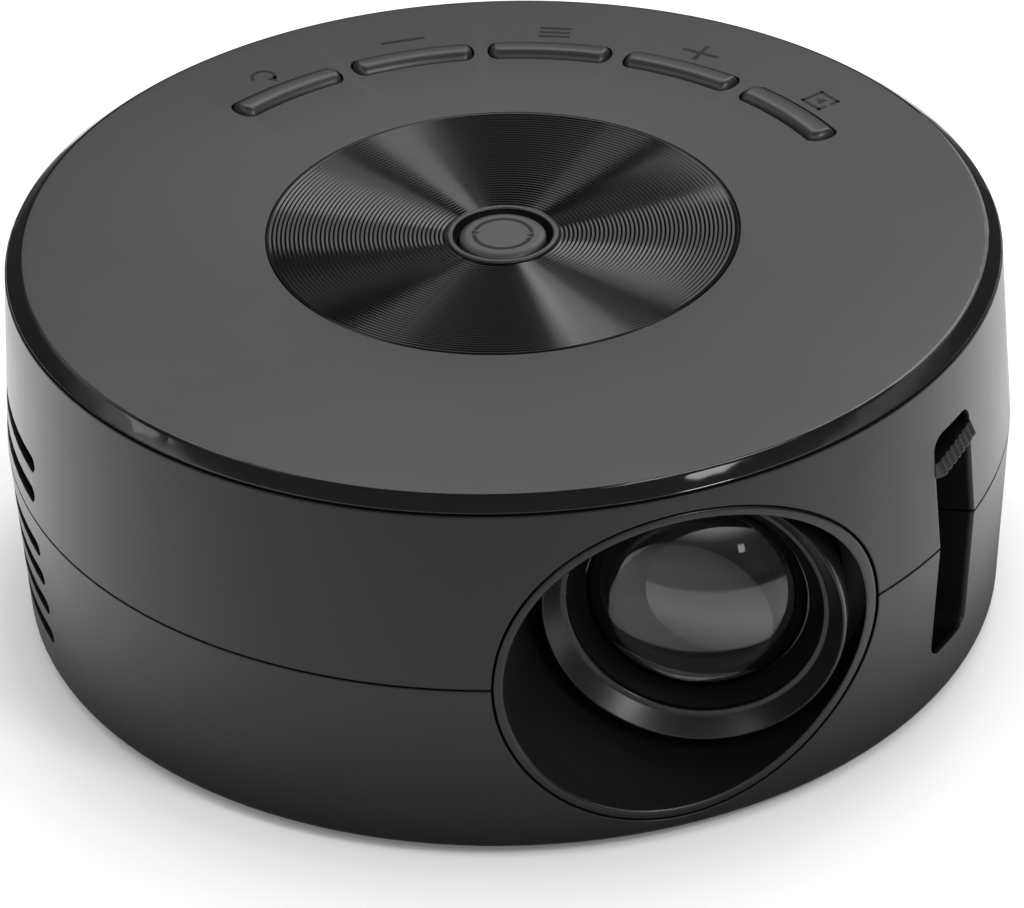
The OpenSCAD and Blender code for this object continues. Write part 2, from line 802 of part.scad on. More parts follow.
module lower_shell() {
    color(body_black)
        difference() {
            union() {
                rotate_extrude()
                    polygon(concat(
                        [[0, base_z]],
                        arc(base_r - base_round, base_z + base_round, base_round, -90, 0),
                        [[outer_r(lower_top), lower_top], [inner_r(lower_top), lower_top],
                         [inner_r(floor_z), floor_z], [0, floor_z]]
                    ));
                pocket(base_z + floor_t / 2, lower_top);
                floor_features();
                port_recess_walls();
            }
            bezel_opening();
            focus_slot();
            for (i = [0 : vents_down - 1])
                vent(seam_z - vent_pitch * (i + 1) - 0.4);
            floor_cuts();
            port_side() {
                block([-port_w / 2 - fit, port_y0, port_low - fit],
                      [port_w / 2 + fit, reach, port_low + port_h + fit]);
                block([-port_w / 2 + port_lip, port_in - cut, port_low + port_lip],
                      [port_w / 2 - port_lip, reach, port_low + port_h - port_lip]);
            }
        }
}

// Posts, seats and walls that stand on the floor
module floor_features() {
    sunk = floor_z - floor_t / 2;
    around(post_at, post_az)
        translate([0, 0, sunk])
            cylinder(r = post_r, h = seam_z - sunk);
    port_side()
        for (at = board_at)
            translate([at[0], at[1], sunk])
                cylinder(r = boss_r, h = board_z - sunk);
    translate([0, 0, sunk])
        cylinder(r = insert_r + boss_wall, h = insert_top + fit - sunk);
    translate([speaker_x, speaker_y, sunk])
        difference() {
            cylinder(r = speaker_r + fit + speaker_wall, h = floor_z + speaker_ring_h - sunk);
            translate([0, 0, floor_z - sunk])
                cylinder(r = speaker_r + fit, h = reach);
        }
    for (side = [-1, 1])
        translate([fan_x1 + fit, side * fan_w / 4 - rail_len / 2, sunk])
            cube([rail_w, rail_len, floor_z + rail_h - sunk]);
    for (y = [box_y0 + rest_at, box_y1 - rest_at])
        block([lens_x - box_half_w + rest_in, y - rest_t / 2, sunk],
              [lens_x + box_half_w - rest_in, y + rest_t / 2, lens_z - box_half_h]);
    block([sink_x0 + rest_t, led_y1, sunk], [sink_x1 - rest_t, sink_y1, lens_z - sink_half_h]);
    difference() {
        block([lens_x - cradle_half_w, sleeve_y1 - cradle_t, sunk],
              [lens_x + cradle_half_w, sleeve_y1, floor_z + cradle_h]);
        lens_rod(ring_r + fit / 2, sleeve_y1 - cradle_t - cut, sleeve_y1 + cut);
    }
}

// Holes and recesses in the floor and its posts
module floor_cuts() {
    around(post_at, post_az) {
        translate([0, 0, base_z - cut])
            cylinder(d = head_d + 0.4, h = case_head_z - base_z + cut);
        translate([0, 0, base_z])
            cylinder(d = screw_d + 2 * fit, h = seam_z);
    }
    port_side()
        for (at = board_at)
            translate([at[0], at[1], floor_z])
                cylinder(d = small_d + fit, h = standoff_h + cut);
    translate([0, 0, base_z - cut])
        cylinder(r = insert_r + fit, h = insert_top + fit - base_z + cut + cut);
    translate([speaker_x, speaker_y, base_z - cut]) {
        cylinder(d = 2, h = floor_t + 2 * cut);
        for (ring = [1, 2], i = [0 : 6 * ring - 1])
            rotate([0, 0, i * 60 / ring])
                translate([ring * 4, 0, 0])
                    cylinder(d = 2, h = floor_t + 2 * cut);
    }
    for (i = [0 : intakes - 1])
        translate([intake_x + i * intake_pitch, intake_y - intake_len / 2, base_z - cut])
            cube([intake_w, intake_len, floor_t + 2 * cut]);
    around(foot_at, foot_az)
        translate([0, 0, base_z - cut])
            cylinder(d = foot_d + 2 * fit, h = foot_recess + cut);
}

// The walls of the recess round the port panel
module port_recess_walls() {
    intersection() {
        port_side()
            block([-port_w / 2 - port_frame, port_in, port_low - port_frame],
                  [port_w / 2 + port_frame, reach, port_low + port_h + port_frame]);
        envelope(wall / 2);
    }
}

module spun_disc() {
    color(bright_metal)
        rotate_extrude()
            polygon([
                [collar_tube_r + fit, body_h - disc_t], [disc_d / 2, body_h - disc_t],
                [disc_d / 2, body_h], [collar_tube_r + fit, body_h - dish]
            ]);
}

// The collar's flange lies on the disc and its tube guides the button
module button_collar() {
    collar_r = collar_d / 2;
    bore_r = button_d / 2 + slide_gap;
    seat = body_h - dish + run_gap / 2;
    top = body_h - dish + collar_rise;
    color(body_black)
        rotate_extrude()
            polygon([
                [bore_r, collar_low], [collar_tube_r, collar_low], [collar_tube_r, seat],
                [collar_r, seat], [collar_r, top - 0.1], [collar_r - 0.1, top],
                [collar_r - collar_land, top], [bore_r, top - collar_slope]
            ]);
}

module center_button() {
    cap_r = button_d / 2;
    top = body_h - button_set;
    color(body_black)
        rotate_extrude()
            polygon([
                [0, stem_low], [cap_r + flange_t, stem_low], [cap_r + flange_t, collar_low - fit],
                [cap_r, collar_low - fit], [cap_r, top - cap_bevel], [cap_r - cap_bevel, top], [0, top]
            ]);
}

// Directions of the keys, counted from the left
function key_az(i) = key_group_az + key_pitch * ((key_count - 1) / 2 - i);

// One key: a bevelled bar, the flange that keeps it in and the stem over its switch
module key(i) {
    top = body_h + key_rise;
    color(body_black) {
        rotate([0, 0, key_az(i) - key_span / 2])
            rotate_extrude(angle = key_span)
                polygon([
                    [key_r0, key_top], [key_r1, key_top], [key_r1, top - key_bevel],
                    [key_r1 - key_bevel, top], [key_r0 + key_bevel, top], [key_r0, top - key_bevel]
                ]);
        arc_bar(key_r0 - key_flange, key_r1 + key_flange, key_top, key_top + flange_t,
                key_span + 2 * key_flange_deg, key_az(i));
        rotate([0, 0, key_az(i)])
            translate([key_r, 0, stem_low])
                cylinder(d = stem_d, h = stem_len + cut);
    }
}

// The bezel's rim is flush with the round wall, and its back plate rests on the lens mount
module lens_bezel() {
    color(body_black)
        intersection() {
            lens_turn([
                [bezel_bore_d / 2, -reach], [bezel_d / 2, -reach], [bezel_d / 2, bezel_y1],
                [barrel_r + stop_gap, bezel_y1], [barrel_r + stop_gap, bezel_y0], [bezel_bore_d / 2, bezel_y0]
            ]);
            envelope();
        }
}

module nose_ring() {
    color(body_black)
        lens_turn([
            [nose_d / 2 - 0.3, nose_y], [nose_d / 2, nose_y + 0.3], [nose_d / 2, nose_y + nose_len],
            [barrel_r + fit, nose_y + nose_len], [barrel_r + fit, barrel_y0],
            [nose_d / 2 - nose_face, barrel_y0], [nose_d / 2 - nose_face, nose_y + nose_slope]
        ]);
}

// The barrel is counterbored for the front ring and for the two lenses
module lens_barrel() {
    color(body_black)
        difference() {
            lens_turn([
                [bore_front_r, barrel_y0], [barrel_r, barrel_y0], [barrel_r, barrel_y1],
                [glass_r + fit, barrel_y1], [glass_r + fit, rear_y0], [aperture_r, rear_y0],
                [aperture_r, glass_y1], [glass_r + fit, glass_y1], [glass_r + fit, glass_y0],
                [bore_front_r, glass_y0]
            ]);
            translate([lens_x - barrel_r - cut, pin_y, lens_z])
                rotate([0, 90, 0])
                    cylinder(r = pin_r + fit / 2, h = cut + (barrel_r - aperture_r) * 0.6);
        }
}

// A flat-backed lens with a flat rim
module front_lens() {
    rise = glass_curve - sqrt(glass_curve * glass_curve - dome_r * dome_r);
    color([0.75, 0.82, 0.86, 0.6])
        union() {
            lens_rod(glass_r, glass_y0, glass_y1);
            intersection() {
                translate([lens_x, glass_y0 - rise + glass_curve, lens_z]) sphere(r = glass_curve);
                lens_rod(glass_r, glass_y0 - rise - 1, glass_y0 + 0.01);
            }
        }
}

// The ring that holds the front lens, with a crest round its sloping face
module lens_retainer() {
    color(body_black)
        lens_turn([
            [dome_r + 2 * fit, glass_y0], [bore_front_r - fit, glass_y0],
            [bore_front_r - fit, glass_y0 - retainer_t], [crest_d / 2, glass_y0 - retainer_t],
            [dome_r + 2 * fit, glass_y0 - retainer_lip]
        ]);
}

module rear_lens() {
    rise = rear_curve - sqrt(rear_curve * rear_curve - aperture_r * aperture_r);
    color([0.75, 0.82, 0.86, 0.6])
        union() {
            lens_rod(glass_r, rear_y0, rear_y1);
            intersection() {
                translate([lens_x, rear_y0 - rise + rear_curve, lens_z]) sphere(r = rear_curve);
                lens_rod(aperture_r - fit, rear_y0 - rise - 1, rear_y0 + 0.01);
            }
        }
}

module rear_retainer() {
    color(body_black)
        lens_turn([[aperture_r, rear_y1], [glass_r, rear_y1], [glass_r, barrel_y1], [aperture_r, barrel_y1]]);
}

// The ring turns on the sleeve, and its slanting slot drives the pin
module focus_ring() {
    color(body_black)
        difference() {
            union() {
                lens_turn([
                    [ring_bore_r, ring_y0], [ring_r, ring_y0], [ring_r, ring_y1], [ring_bore_r, ring_y1]
                ]);
                focus_lever();
            }
            for (turn = [-lever_up - 1 : 4 : lever_down + 3])
                translate([lens_x, pin_y + travel_per_deg * turn, lens_z])
                    rotate([0, -90 - turn, 0])
                        cylinder(r = pin_r + stop_gap, h = ring_r + cut);
        }
}

// How far the tab reaches from the lens axis at a place across it, along the round wall
function tab_reach(across) =
    (sqrt(tab_end_r * tab_end_r - pow(lever_y + across, 2)) - lens_x) / cos(lever_rest);

// The arm from the ring to the slot, and the flat tab with a ribbed end that follows the wall
module focus_lever() {
    rib_pitch = tab_w / tab_ribs;
    translate([lens_x, lever_y, lens_z])
        rotate([0, -lever_rest, 0]) {
            block([ring_r - ring_wall / 2, -arm_t / 2, -arm_t / 2], [tab_from + cut, arm_t / 2, arm_t / 2]);
            linear_extrude(height = tab_t, center = true)
                polygon(concat(
                    [[tab_from, tab_w / 2], [tab_from, -tab_w / 2]],
                    [for (i = [0 : tab_ribs - 1], part = [0, 0.25, 0.75])
                        let (across = -tab_w / 2 + (i + part) * rib_pitch)
                            [tab_reach(across) - (part == 0 ? rib_deep : 0), across]],
                    [[tab_reach(tab_w / 2) - rib_deep, tab_w / 2]]
                ));
        }
}

module focus_pin() {
    depth = (barrel_r - aperture_r) * 0.5;
    color(bright_metal)
        translate([lens_x - ring_r + 0.3, pin_y, lens_z])
            rotate([0, 90, 0])
                cylinder(r = pin_r, h = ring_r - 0.3 - barrel_r + depth);
}

module focus_clip() {
    color(bright_metal)
        difference() {
            lens_turn([
                [sleeve_r + fit / 2, clip_y0], [ring_r, clip_y0], [ring_r, clip_y0 + clip_t],
                [sleeve_r + fit / 2, clip_y0 + clip_t]
            ]);
            block([lens_x - 4, clip_y0 - cut, lens_z], [lens_x + 4, clip_y0 + clip_t + cut, lens_z + reach]);
        }
}

// The sleeve that guides the barrel, with a straight slot for the pin
module lens_mount() {
    color([0.2, 0.2, 0.21])
        difference() {
            lens_turn([
                [sleeve_bore_r, sleeve_y0], [sleeve_r, sleeve_y0], [sleeve_r, ring_y1 + stop_gap],
                [ring_r, ring_y1 + stop_gap], [ring_r, sleeve_y1], [sleeve_bore_r, sleeve_y1]
            ]);
            block([lens_x - sleeve_r - cut, pin_y - pin_r - focus_travel * 0.2, lens_z - pin_r - stop_gap],
                  [lens_x, pin_y + pin_r + focus_travel + stop_gap, lens_z + pin_r + stop_gap]);
        }
}

// The box that holds the panel and the plates, with a collar against the lens mount
module optics_box() {
    color([0.2, 0.2, 0.21])
        difference() {
            union() {
                lens_rod(ring_r, box_y0, box_y0 + box_collar_t);
                block([lens_x - box_half_w, box_y0 + box_collar_t - 0.5, lens_z - box_half_h],
                      [lens_x + box_half_w, box_y1, lens_z + box_half_h]);
            }
            block([lens_x - box_in_w, box_y0 - cut, lens_z - box_in_h],
                  [lens_x + box_in_w, box_y1 + cut, lens_z + box_in_h]);
            flex_slit(lens_x - box_half_w - cut);
        }
}

// The slit that the panel's flat cable leaves by
module flex_slit(x0) {
    block([x0, flex_y - ribbon_t / 2 - fit, lens_z - flex_w / 2 - fit],
          [lens_x, flex_y + ribbon_t / 2 + fit, lens_z + flex_w / 2 + fit]);
}

// A plate that fills the box across its light path
module box_plate(y0, thickness) {
    block([lens_x - plate_half_w, y0, lens_z - plate_half_h],
          [lens_x + plate_half_w, y0 + thickness, lens_z + plate_half_h]);
}

module field_lens() {
    color([0.8, 0.86, 0.88, 0.6]) box_plate(field_y0, plate_t);
}

module panel_frame() {
    lip = 0.6;
    color([0.2, 0.2, 0.21])
        difference() {
            box_plate(frame_y0, frame_t);
            block([lens_x - panel_w / 2 - fit, panel_y, lens_z - panel_h / 2 - fit],
                  [lens_x + panel_w / 2 + fit, frame_y1 + cut, lens_z + panel_h / 2 + fit]);
            block([lens_x - panel_w / 2 + lip, frame_y0 - cut, lens_z - panel_h / 2 + lip],
                  [lens_x + panel_w / 2 - lip, frame_y1, lens_z + panel_h / 2 - lip]);
            flex_slit(lens_x - box_half_w);
        }
}

module lcd_panel() {
    color([0.25, 0.28, 0.33])
        block([lens_x - panel_w / 2, panel_y, lens_z - panel_h / 2],
              [lens_x + panel_w / 2, panel_y + panel_t, lens_z + panel_h / 2]);
}

module heat_glass() {
    color([0.7, 0.85, 0.85, 0.6]) box_plate(heat_y0, plate_t);
}

module condenser_lens() {
    color([0.8, 0.86, 0.88, 0.6]) box_plate(condenser_y0, plate_t);
}

// A four-sided funnel from the condenser to the lamp
module funnel(front_w, front_h, back, y0, y1) {
    hull() {
        block([lens_x - front_w, y0, lens_z - front_h], [lens_x + front_w, y0 + 0.1, lens_z + front_h]);
        block([lens_x - back, y1 - 0.1, lens_z - back], [lens_x + back, y1, lens_z + back]);
    }
}

module light_tunnel() {
    color(bright_metal)
        difference() {
            funnel(plate_half_w, plate_half_h, tunnel_end, tunnel_y0, tunnel_y1);
            funnel(plate_half_w - tunnel_wall, plate_half_h - tunnel_wall, tunnel_end - tunnel_wall,
                   tunnel_y0 - 0.05, tunnel_y1 + 0.05);
        }
}

// The lamp: a metal-backed board with one large emitter
module led_board() {
    chip = 3.5;
    chip_t = 1;
    dome_r = 2.6;
    color([0.9, 0.88, 0.75])
        difference() {
            union() {
                block([lens_x - led_w / 2, tunnel_y1, lens_z - led_w / 2],
                      [lens_x + led_w / 2, led_y1, lens_z + led_w / 2]);
                block([lens_x - chip, tunnel_y1 - chip_t, lens_z - chip],
                      [lens_x + chip, tunnel_y1 + led_t / 2, lens_z + chip]);
                intersection() {
                    translate([lens_x, tunnel_y1 - chip_t + fit, lens_z]) sphere(r = dome_r);
                    lens_rod(chip, tunnel_y1 - chip_t - dome_r, tunnel_y1);
                }
            }
            at_sink_screws(tunnel_y1 - cut)
                cylinder(d = small_d + 2 * fit, h = led_t + 2 * cut);
        }
}

// Places of the two screws that hold the LED board, pointing along +Y
module at_sink_screws(y) {
    for (side = [-1, 1])
        translate([lens_x + side * sink_screw_at, y, lens_z + side * sink_screw_at])
            rotate([-90, 0, 0])
                children();
}

module heat_sink() {
    step = (sink_x1 - sink_x0 - fin_t) / (fins - 1);
    color(bright_metal)
        difference() {
            union() {
                block([sink_x0, led_y1, lens_z - sink_half_h], [sink_x1, sink_y1, lens_z + sink_half_h]);
                for (i = [0 : fins - 1])
                    block([sink_x0 + i * step, sink_y1 - cut, lens_z - sink_half_h],
                          [sink_x0 + i * step + fin_t, fin_y1, lens_z + sink_half_h]);
            }
            at_sink_screws(led_y1 - cut)
                cylinder(d = small_d + fit, h = sink_base - 0.4 + cut);
        }
}

module sink_screws() {
    color(bright_metal)
        at_sink_screws(tunnel_y1)
            screw(small_d, led_t + sink_base - 0.8, small_head_d, small_head_h);
}

// The fan's frame: a square duct, a plate for the hub on three struts and the bearing tube
module fan_frame() {
    color([0.16, 0.16, 0.17])
        difference() {
            union() {
                difference() {
                    block([fan_x0, -fan_w / 2, floor_z], [fan_x1, fan_w / 2, floor_z + fan_w]);
                    fan_rod(duct_r, fan_x0 - cut, fan_x1 + cut);
                }
                fan_rod(hub_r, fan_x0, fan_x0 + hub_plate_t);
                fan_rod(shaft_d / 2 + 1.5, fan_x0, hub_x1 - hub_wall - stop_gap);
                for (turn = [30, 150, 270])
                    translate([fan_x0, 0, fan_z])
                        rotate([turn, 0, 0])
                            translate([0, -1.2, 0])
                                cube([hub_plate_t, 2.4, duct_r + 0.5]);
            }
            fan_rod(shaft_d / 2 + run_gap, fan_x0 + hub_plate_t / 2, hub_x1);
        }
}

// A rod along the fan's axis
module fan_rod(r, x0, x1) {
    translate([x0, 0, fan_z])
        rotate([0, 90, 0])
            cylinder(r = r, h = x1 - x0);
}

// The rotor: a cup with its shaft inside and the blades round it
module fan_rotor() {
    mid = (hub_x0 + hub_x1) / 2;
    chord = (hub_x1 - hub_x0) / cos(blade_pitch) * 0.85;
    root = hub_r - 0.6;
    color([0.12, 0.12, 0.13]) {
        difference() {
            fan_rod(hub_r, hub_x0, hub_x1);
            fan_rod(hub_r - hub_wall, hub_x0 - cut, hub_x1 - hub_wall);
        }
        fan_rod(shaft_d / 2, hub_x0, hub_x1 - hub_wall / 2);
        for (i = [0 : blades - 1])
            translate([mid, 0, fan_z])
                rotate([i * 360 / blades, 0, 0])
                    translate([0, 0, (root + blade_r) / 2])
                        rotate([0, 0, blade_pitch])
                            cube([chord, 1.2, blade_r - root - 0.3], center = true);
    }
}

// The speaker lies face down in its ring on the floor
module speaker_basket() {
    color([0.3, 0.3, 0.31])
        translate([speaker_x, speaker_y, floor_z])
            rotate_extrude()
                polygon([
                    [cone_r, 0], [speaker_r, 0], [speaker_r, basket_rim], [speaker_r - basket_t, basket_rim],
                    [magnet_r, magnet_z], [magnet_r, speaker_h], [0, speaker_h], [0, magnet_z + basket_t],
                    [magnet_r - basket_t, magnet_z + basket_t], [magnet_r - basket_t, magnet_z],
                    [cone_r, basket_rim - cone_t]
                ]);
}

module speaker_cone() {
    rim = cone_r - fit;
    low = cone_t / 2;
    throat = magnet_z - 2 * cone_t;
    color([0.1, 0.1, 0.1])
        translate([speaker_x, speaker_y, floor_z])
            rotate_extrude()
                polygon([
                    [rim - 2 * cone_t, low], [rim, low], [rim, low + cone_t], [cone_cap_r, throat],
                    [0, throat + 2 * cone_t], [0, throat + cone_t], [cone_cap_r - cone_t / 2, throat - cone_t]
                ]);
}

// The main board, in the frame of the ports
module main_board() {
    color(board_green)
        port_side()
            difference() {
                translate([0, 0, board_z])
                    linear_extrude(board_t)
                        polygon([
                            [board_x0, board_y0], [board_step_x, board_y0], [board_step_x, board_step_y],
                            [board_x1, board_step_y], [board_x1, board_y1],
                            [board_x0 + board_corner, board_y1], [board_x0, board_y1 - board_corner]
                        ]);
                for (at = board_at)
                    translate([at[0], at[1], board_z - cut])
                        cylinder(d = small_d + 2 * fit, h = board_t + 2 * cut);
                translate([0, 0, board_z - cut])
                    cylinder(r = insert_r + boss_wall + boss_gap, h = board_t + 2 * cut);
            }
}

// Chips, coils, capacitors and connectors on the main board
module board_parts() {
    color([0.12, 0.12, 0.12]) {
        port_side() {
            translate([chip_at[0], board_y1 + chip_at[1], board_top])
                cube([chip_w, chip_w, chip_h]);
            translate([coil_at[0], board_y1 + coil_at[1], board_top])
                cube([coil_w, coil_w, coil_h]);
            for (at = can_at)
                translate([at[0], board_y1 + at[1], board_top])
                    cylinder(r = can_r, h = can_h);
        }
        block([flex_x - flex_w / 2 - 1, flex_y - plug_d / 2, board_top],
              [flex_x + flex_w / 2 + 1, flex_y + plug_d / 2, plug_top]);
        block([key_ribbon_x - key_ribbon_w / 2 - 1, key_ribbon_y - plug_d / 2, board_top],
              [key_ribbon_x + key_ribbon_w / 2 + 1, key_ribbon_y + plug_d / 2, plug_top]);
        block([fan_plug_x, fan_lead_y - lead_w, board_top],
              [fan_plug_x + plug_d + 1, fan_lead_y + lead_w, plug_top]);
        block([speaker_x - lead_w, speaker_plug_y, board_top],
              [speaker_x + lead_w, speaker_plug_y + plug_d, plug_top]);
        block([led_plug_x - plug_d, led_lead_y - lead_w, board_top],
              [led_plug_x, led_lead_y + lead_w, plug_top + 2]);
    }
}

module board_screws() {
    color(bright_metal)
        port_side()
            for (at = board_at)
                translate([at[0], at[1], board_top])
                    mirror([0, 0, 1])
                        screw(small_d, board_t + standoff_h - 0.8, small_head_d, small_head_h);
}

// The USB socket: a metal sleeve round a plastic tongue
module usb_socket() {
    skin = 0.4;
    tongue = 1.9;
    tongue_top = board_top + usb_h - skin - 0.5;
    color(bright_metal)
        port_side()
            difference() {
                block([usb_x - usb_w / 2, socket_y1 - socket_len, board_top],
                      [usb_x + usb_w / 2, socket_y1, board_top + usb_h]);
                difference() {
                    block([usb_x - usb_w / 2 + skin, socket_y1 - socket_len + 3, board_top + skin],
                          [usb_x + usb_w / 2 - skin, socket_y1 + cut, board_top + usb_h - skin]);
                    block([usb_x - usb_w / 2 + 1.4, socket_y1 - socket_len + 2, tongue_top - tongue],
                          [usb_x + usb_w / 2 - 1.4, socket_y1 - 1, tongue_top]);
                }
            }
}

// The audio jack: a block with a round nose and its bore
module audio_jack() {
    color([0.1, 0.1, 0.1])
        port_side()
            difference() {
                union() {
                    block([audio_x - audio_body_w / 2, socket_y1 - socket_len, board_top],
                          [audio_x + audio_body_w / 2, port_in - socket_set, audio_z + audio_nose_r]);
                    port_rod(audio_x, audio_z, audio_nose_r, port_in - 1, socket_y1);
                }
                port_rod(audio_x, audio_z, audio_d / 2, socket_y1 - audio_len, socket_y1 + cut);
            }
}

// A rod that points out of the port panel
module port_rod(x, z, r, y0, y1) {
    translate([x, y0, z])
        rotate([-90, 0, 0])
            cylinder(r = r, h = y1 - y0);
}

// The power jack: a block, its bore and the pin in the bore
module power_jack() {
    color([0.1, 0.1, 0.1])
        port_side() {
            difference() {
                union() {
                    block([power_x - power_body_w / 2, socket_y1 - socket_len, board_top],
                          [power_x + power_body_w / 2, port_in - socket_set, board_top + power_body_h]);
                    port_rod(power_x, power_z, power_nose_r, port_in - 1, socket_y1);
                }
                port_rod(power_x, power_z, power_d / 2, socket_y1 - power_len, socket_y1 + cut);
            }
            port_rod(power_x, power_z, power_pin_d / 2, socket_y1 - power_len - cut, socket_y1 - 1);
        }
}

// The plate round the sockets, seated in its recess
module port_panel() {
    around_usb = 0.3;
    color(body_black)
        port_side()
            difference() {
                block([-port_w / 2, port_y0, port_low], [port_w / 2, port_y1, port_low + port_h]);
                block([usb_x - usb_w / 2 - around_usb, port_y0 - cut, board_top - around_usb],
                      [usb_x + usb_w / 2 + around_usb, port_y1 + cut, board_top + usb_h + around_usb]);
                port_rod(audio_x, audio_z, audio_nose_r + fit, port_y0 - cut, port_y1 + cut);
                port_rod(power_x, power_z, power_nose_r + fit, port_y0 - cut, port_y1 + cut);
            }
}

// The key board: an arc under the keys and a tongue under the button
module key_board() {
    color(board_green)
        difference() {
            union() {
                arc_bar(key_board_in, key_board_out, key_board_z, key_board_top, key_board_deg,
                        key_group_az);
                block([-key_board_half, key_board_y0, key_board_z],
                      [key_board_half, key_board_in + 4, key_board_top]);
            }
            for (at = key_board_at)
                translate([at[0], at[1], key_board_z - cut])
                    cylinder(d = small_d + 2 * fit, h = board_t + 2 * cut);
        }
}

// One switch: a square case and its plunger
module key_switch() {
    case_w = 6;
    translate([-case_w / 2, -case_w / 2, key_board_top])
        cube([case_w, case_w, switch_h - plunger_h]);
    translate([0, 0, key_board_top])
        cylinder(d = 3.4, h = switch_h);
}

module key_switches() {
    color([0.15, 0.15, 0.16]) {
        key_switch();
        for (i = [0 : key_count - 1])
            rotate([0, 0, key_az(i)])
                translate([key_r, 0, 0])
                    key_switch();
    }
}

module key_board_screws() {
    color(bright_metal)
        for (at = key_board_at)
            translate([at[0], at[1], key_board_z])
                screw(small_d, board_t + key_boss_deep - cut, small_head_d, small_head_h);
}

// The panel's flat cable, out of the side of the box and down to the main board
module panel_flex() {
    x1 = lens_x - panel_w / 2 - fit;
    color([0.75, 0.45, 0.15])
        translate([0, flex_y + ribbon_t / 2, 0])
            rotate([90, 0, 0])
                linear_extrude(ribbon_t)
                    polygon([
                        [x1, lens_z - flex_w / 2], [flex_x + flex_w / 2, lens_z - flex_w / 2],
                        [flex_x + flex_w / 2, plug_top], [flex_x - flex_w / 2, plug_top],
                        [flex_x - flex_w / 2, lens_z + flex_w / 2], [x1, lens_z + flex_w / 2]
                    ]);
}

module key_ribbon() {
    color(cable_white)
        block([key_ribbon_x - key_ribbon_w / 2, key_ribbon_y - ribbon_t / 2, plug_top],
              [key_ribbon_x + key_ribbon_w / 2, key_ribbon_y + ribbon_t / 2, key_board_z]);
}

module fan_lead() {
    color(cable_white)
        block([fan_x1, fan_lead_y - lead_w / 2, plug_top - 2 * lead_t + lead_drop],
              [fan_plug_x, fan_lead_y + lead_w / 2, plug_top - lead_t + lead_drop]);
}

module speaker_lead() {
    z0 = max(plug_top - lead_t - lead_drop, floor_z + magnet_z + lead_drop);
    color(cable_white)
        block([speaker_x - lead_w / 2, speaker_y + magnet_r + fit, z0],
              [speaker_x + lead_w / 2, speaker_plug_y, z0 + lead_t]);
}

module led_lead() {
    z0 = max(plug_top + 2 - lead_w, lens_z - led_w / 2 + 0.2);
    color(cable_white)
        block([led_plug_x, led_lead_y - lead_t / 2, z0],
              [lens_x - led_w / 2, led_lead_y + lead_t / 2, z0 + lead_w]);
}

module cover_screws() {
    color(bright_metal)
        around(cover_screw_at, cover_screw_az)
            translate([0, 0, ledge_z])
                screw(small_d, ledge_t + cover_t * 0.6, small_head_d, small_head_h);
}

module case_screws() {
    color(bright_metal)
        around(post_at, post_az)
            translate([0, 0, case_head_z])
                screw(screw_d, case_screw_len, head_d, head_h);
}

// The brass insert for a tripod screw
module tripod_insert() {
    color([0.75, 0.6, 0.25])
        translate([0, 0, base_z])
            difference() {
                cylinder(r = insert_r, h = tripod_depth);
                translate([0, 0, -cut])
                    cylinder(d = tripod_d, h = tripod_depth + 2 * cut);
            }
}

module foot_pads() {
    color([0.1, 0.1, 0.1])
        around(foot_at, foot_az)
            rotate_extrude()
                polygon([
                    [0, 0], [foot_d / 2 - 0.4, 0], [foot_d / 2, 0.4],
                    [foot_d / 2, foot_h + foot_recess], [0, foot_h + foot_recess]
                ]);
}

top_cover();
upper_shell();
lower_shell();
spun_disc();
button_collar();
center_button();
key(0);  // key_return
key(1);  // key_minus
key(2);  // key_menu
key(3);  // key_plus
key(4);  // key_input
lens_bezel();
nose_ring();
lens_barrel();
front_lens();
lens_retainer();
rear_lens();
rear_retainer();
focus_ring();
focus_pin();
focus_clip();
lens_mount();
optics_box();
field_lens();
panel_frame();
lcd_panel();
heat_glass();
condenser_lens();
light_tunnel();
led_board();
heat_sink();
sink_screws();
fan_frame();
fan_rotor();
speaker_basket();
speaker_cone();
main_board();
board_parts();
board_screws();
usb_socket();
audio_jack();
power_jack();
port_panel();
key_board();
key_switches();
key_board_screws();
panel_flex();
key_ribbon();
fan_lead();
speaker_lead();
led_lead();
cover_screws();
case_screws();
tripod_insert();
foot_pads();
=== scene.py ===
# %% [markdown]
# # A low round video projector
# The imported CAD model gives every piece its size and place. This script dresses that model: it makes the
# finishes, adds the fine shapes that catch the light, and sets up the camera and a plain studio.
# All lengths are metres, in the model's own frame: +Z is up, the lens looks along -Y, and the projector
# stands on the floor at Z = 0. Small sizes are written in millimetres and scaled by MM.

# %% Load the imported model
import math

import bmesh
import bpy
from mathutils import Matrix, Quaternion, Vector


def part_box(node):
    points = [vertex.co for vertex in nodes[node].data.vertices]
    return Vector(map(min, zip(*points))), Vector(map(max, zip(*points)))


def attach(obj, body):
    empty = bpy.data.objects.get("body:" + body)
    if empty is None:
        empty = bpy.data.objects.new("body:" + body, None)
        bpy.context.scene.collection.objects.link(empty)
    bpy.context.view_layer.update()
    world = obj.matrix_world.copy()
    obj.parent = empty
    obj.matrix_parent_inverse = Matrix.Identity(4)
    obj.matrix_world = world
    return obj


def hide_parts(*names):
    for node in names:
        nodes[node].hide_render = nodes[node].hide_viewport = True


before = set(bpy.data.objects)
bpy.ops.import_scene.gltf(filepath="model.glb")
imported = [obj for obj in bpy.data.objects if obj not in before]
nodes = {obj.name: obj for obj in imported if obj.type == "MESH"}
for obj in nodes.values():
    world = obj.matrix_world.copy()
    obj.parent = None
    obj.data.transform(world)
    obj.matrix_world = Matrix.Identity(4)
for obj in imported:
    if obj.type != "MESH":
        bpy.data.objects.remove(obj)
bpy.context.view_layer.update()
scene = bpy.context.scene
MM = 0.001

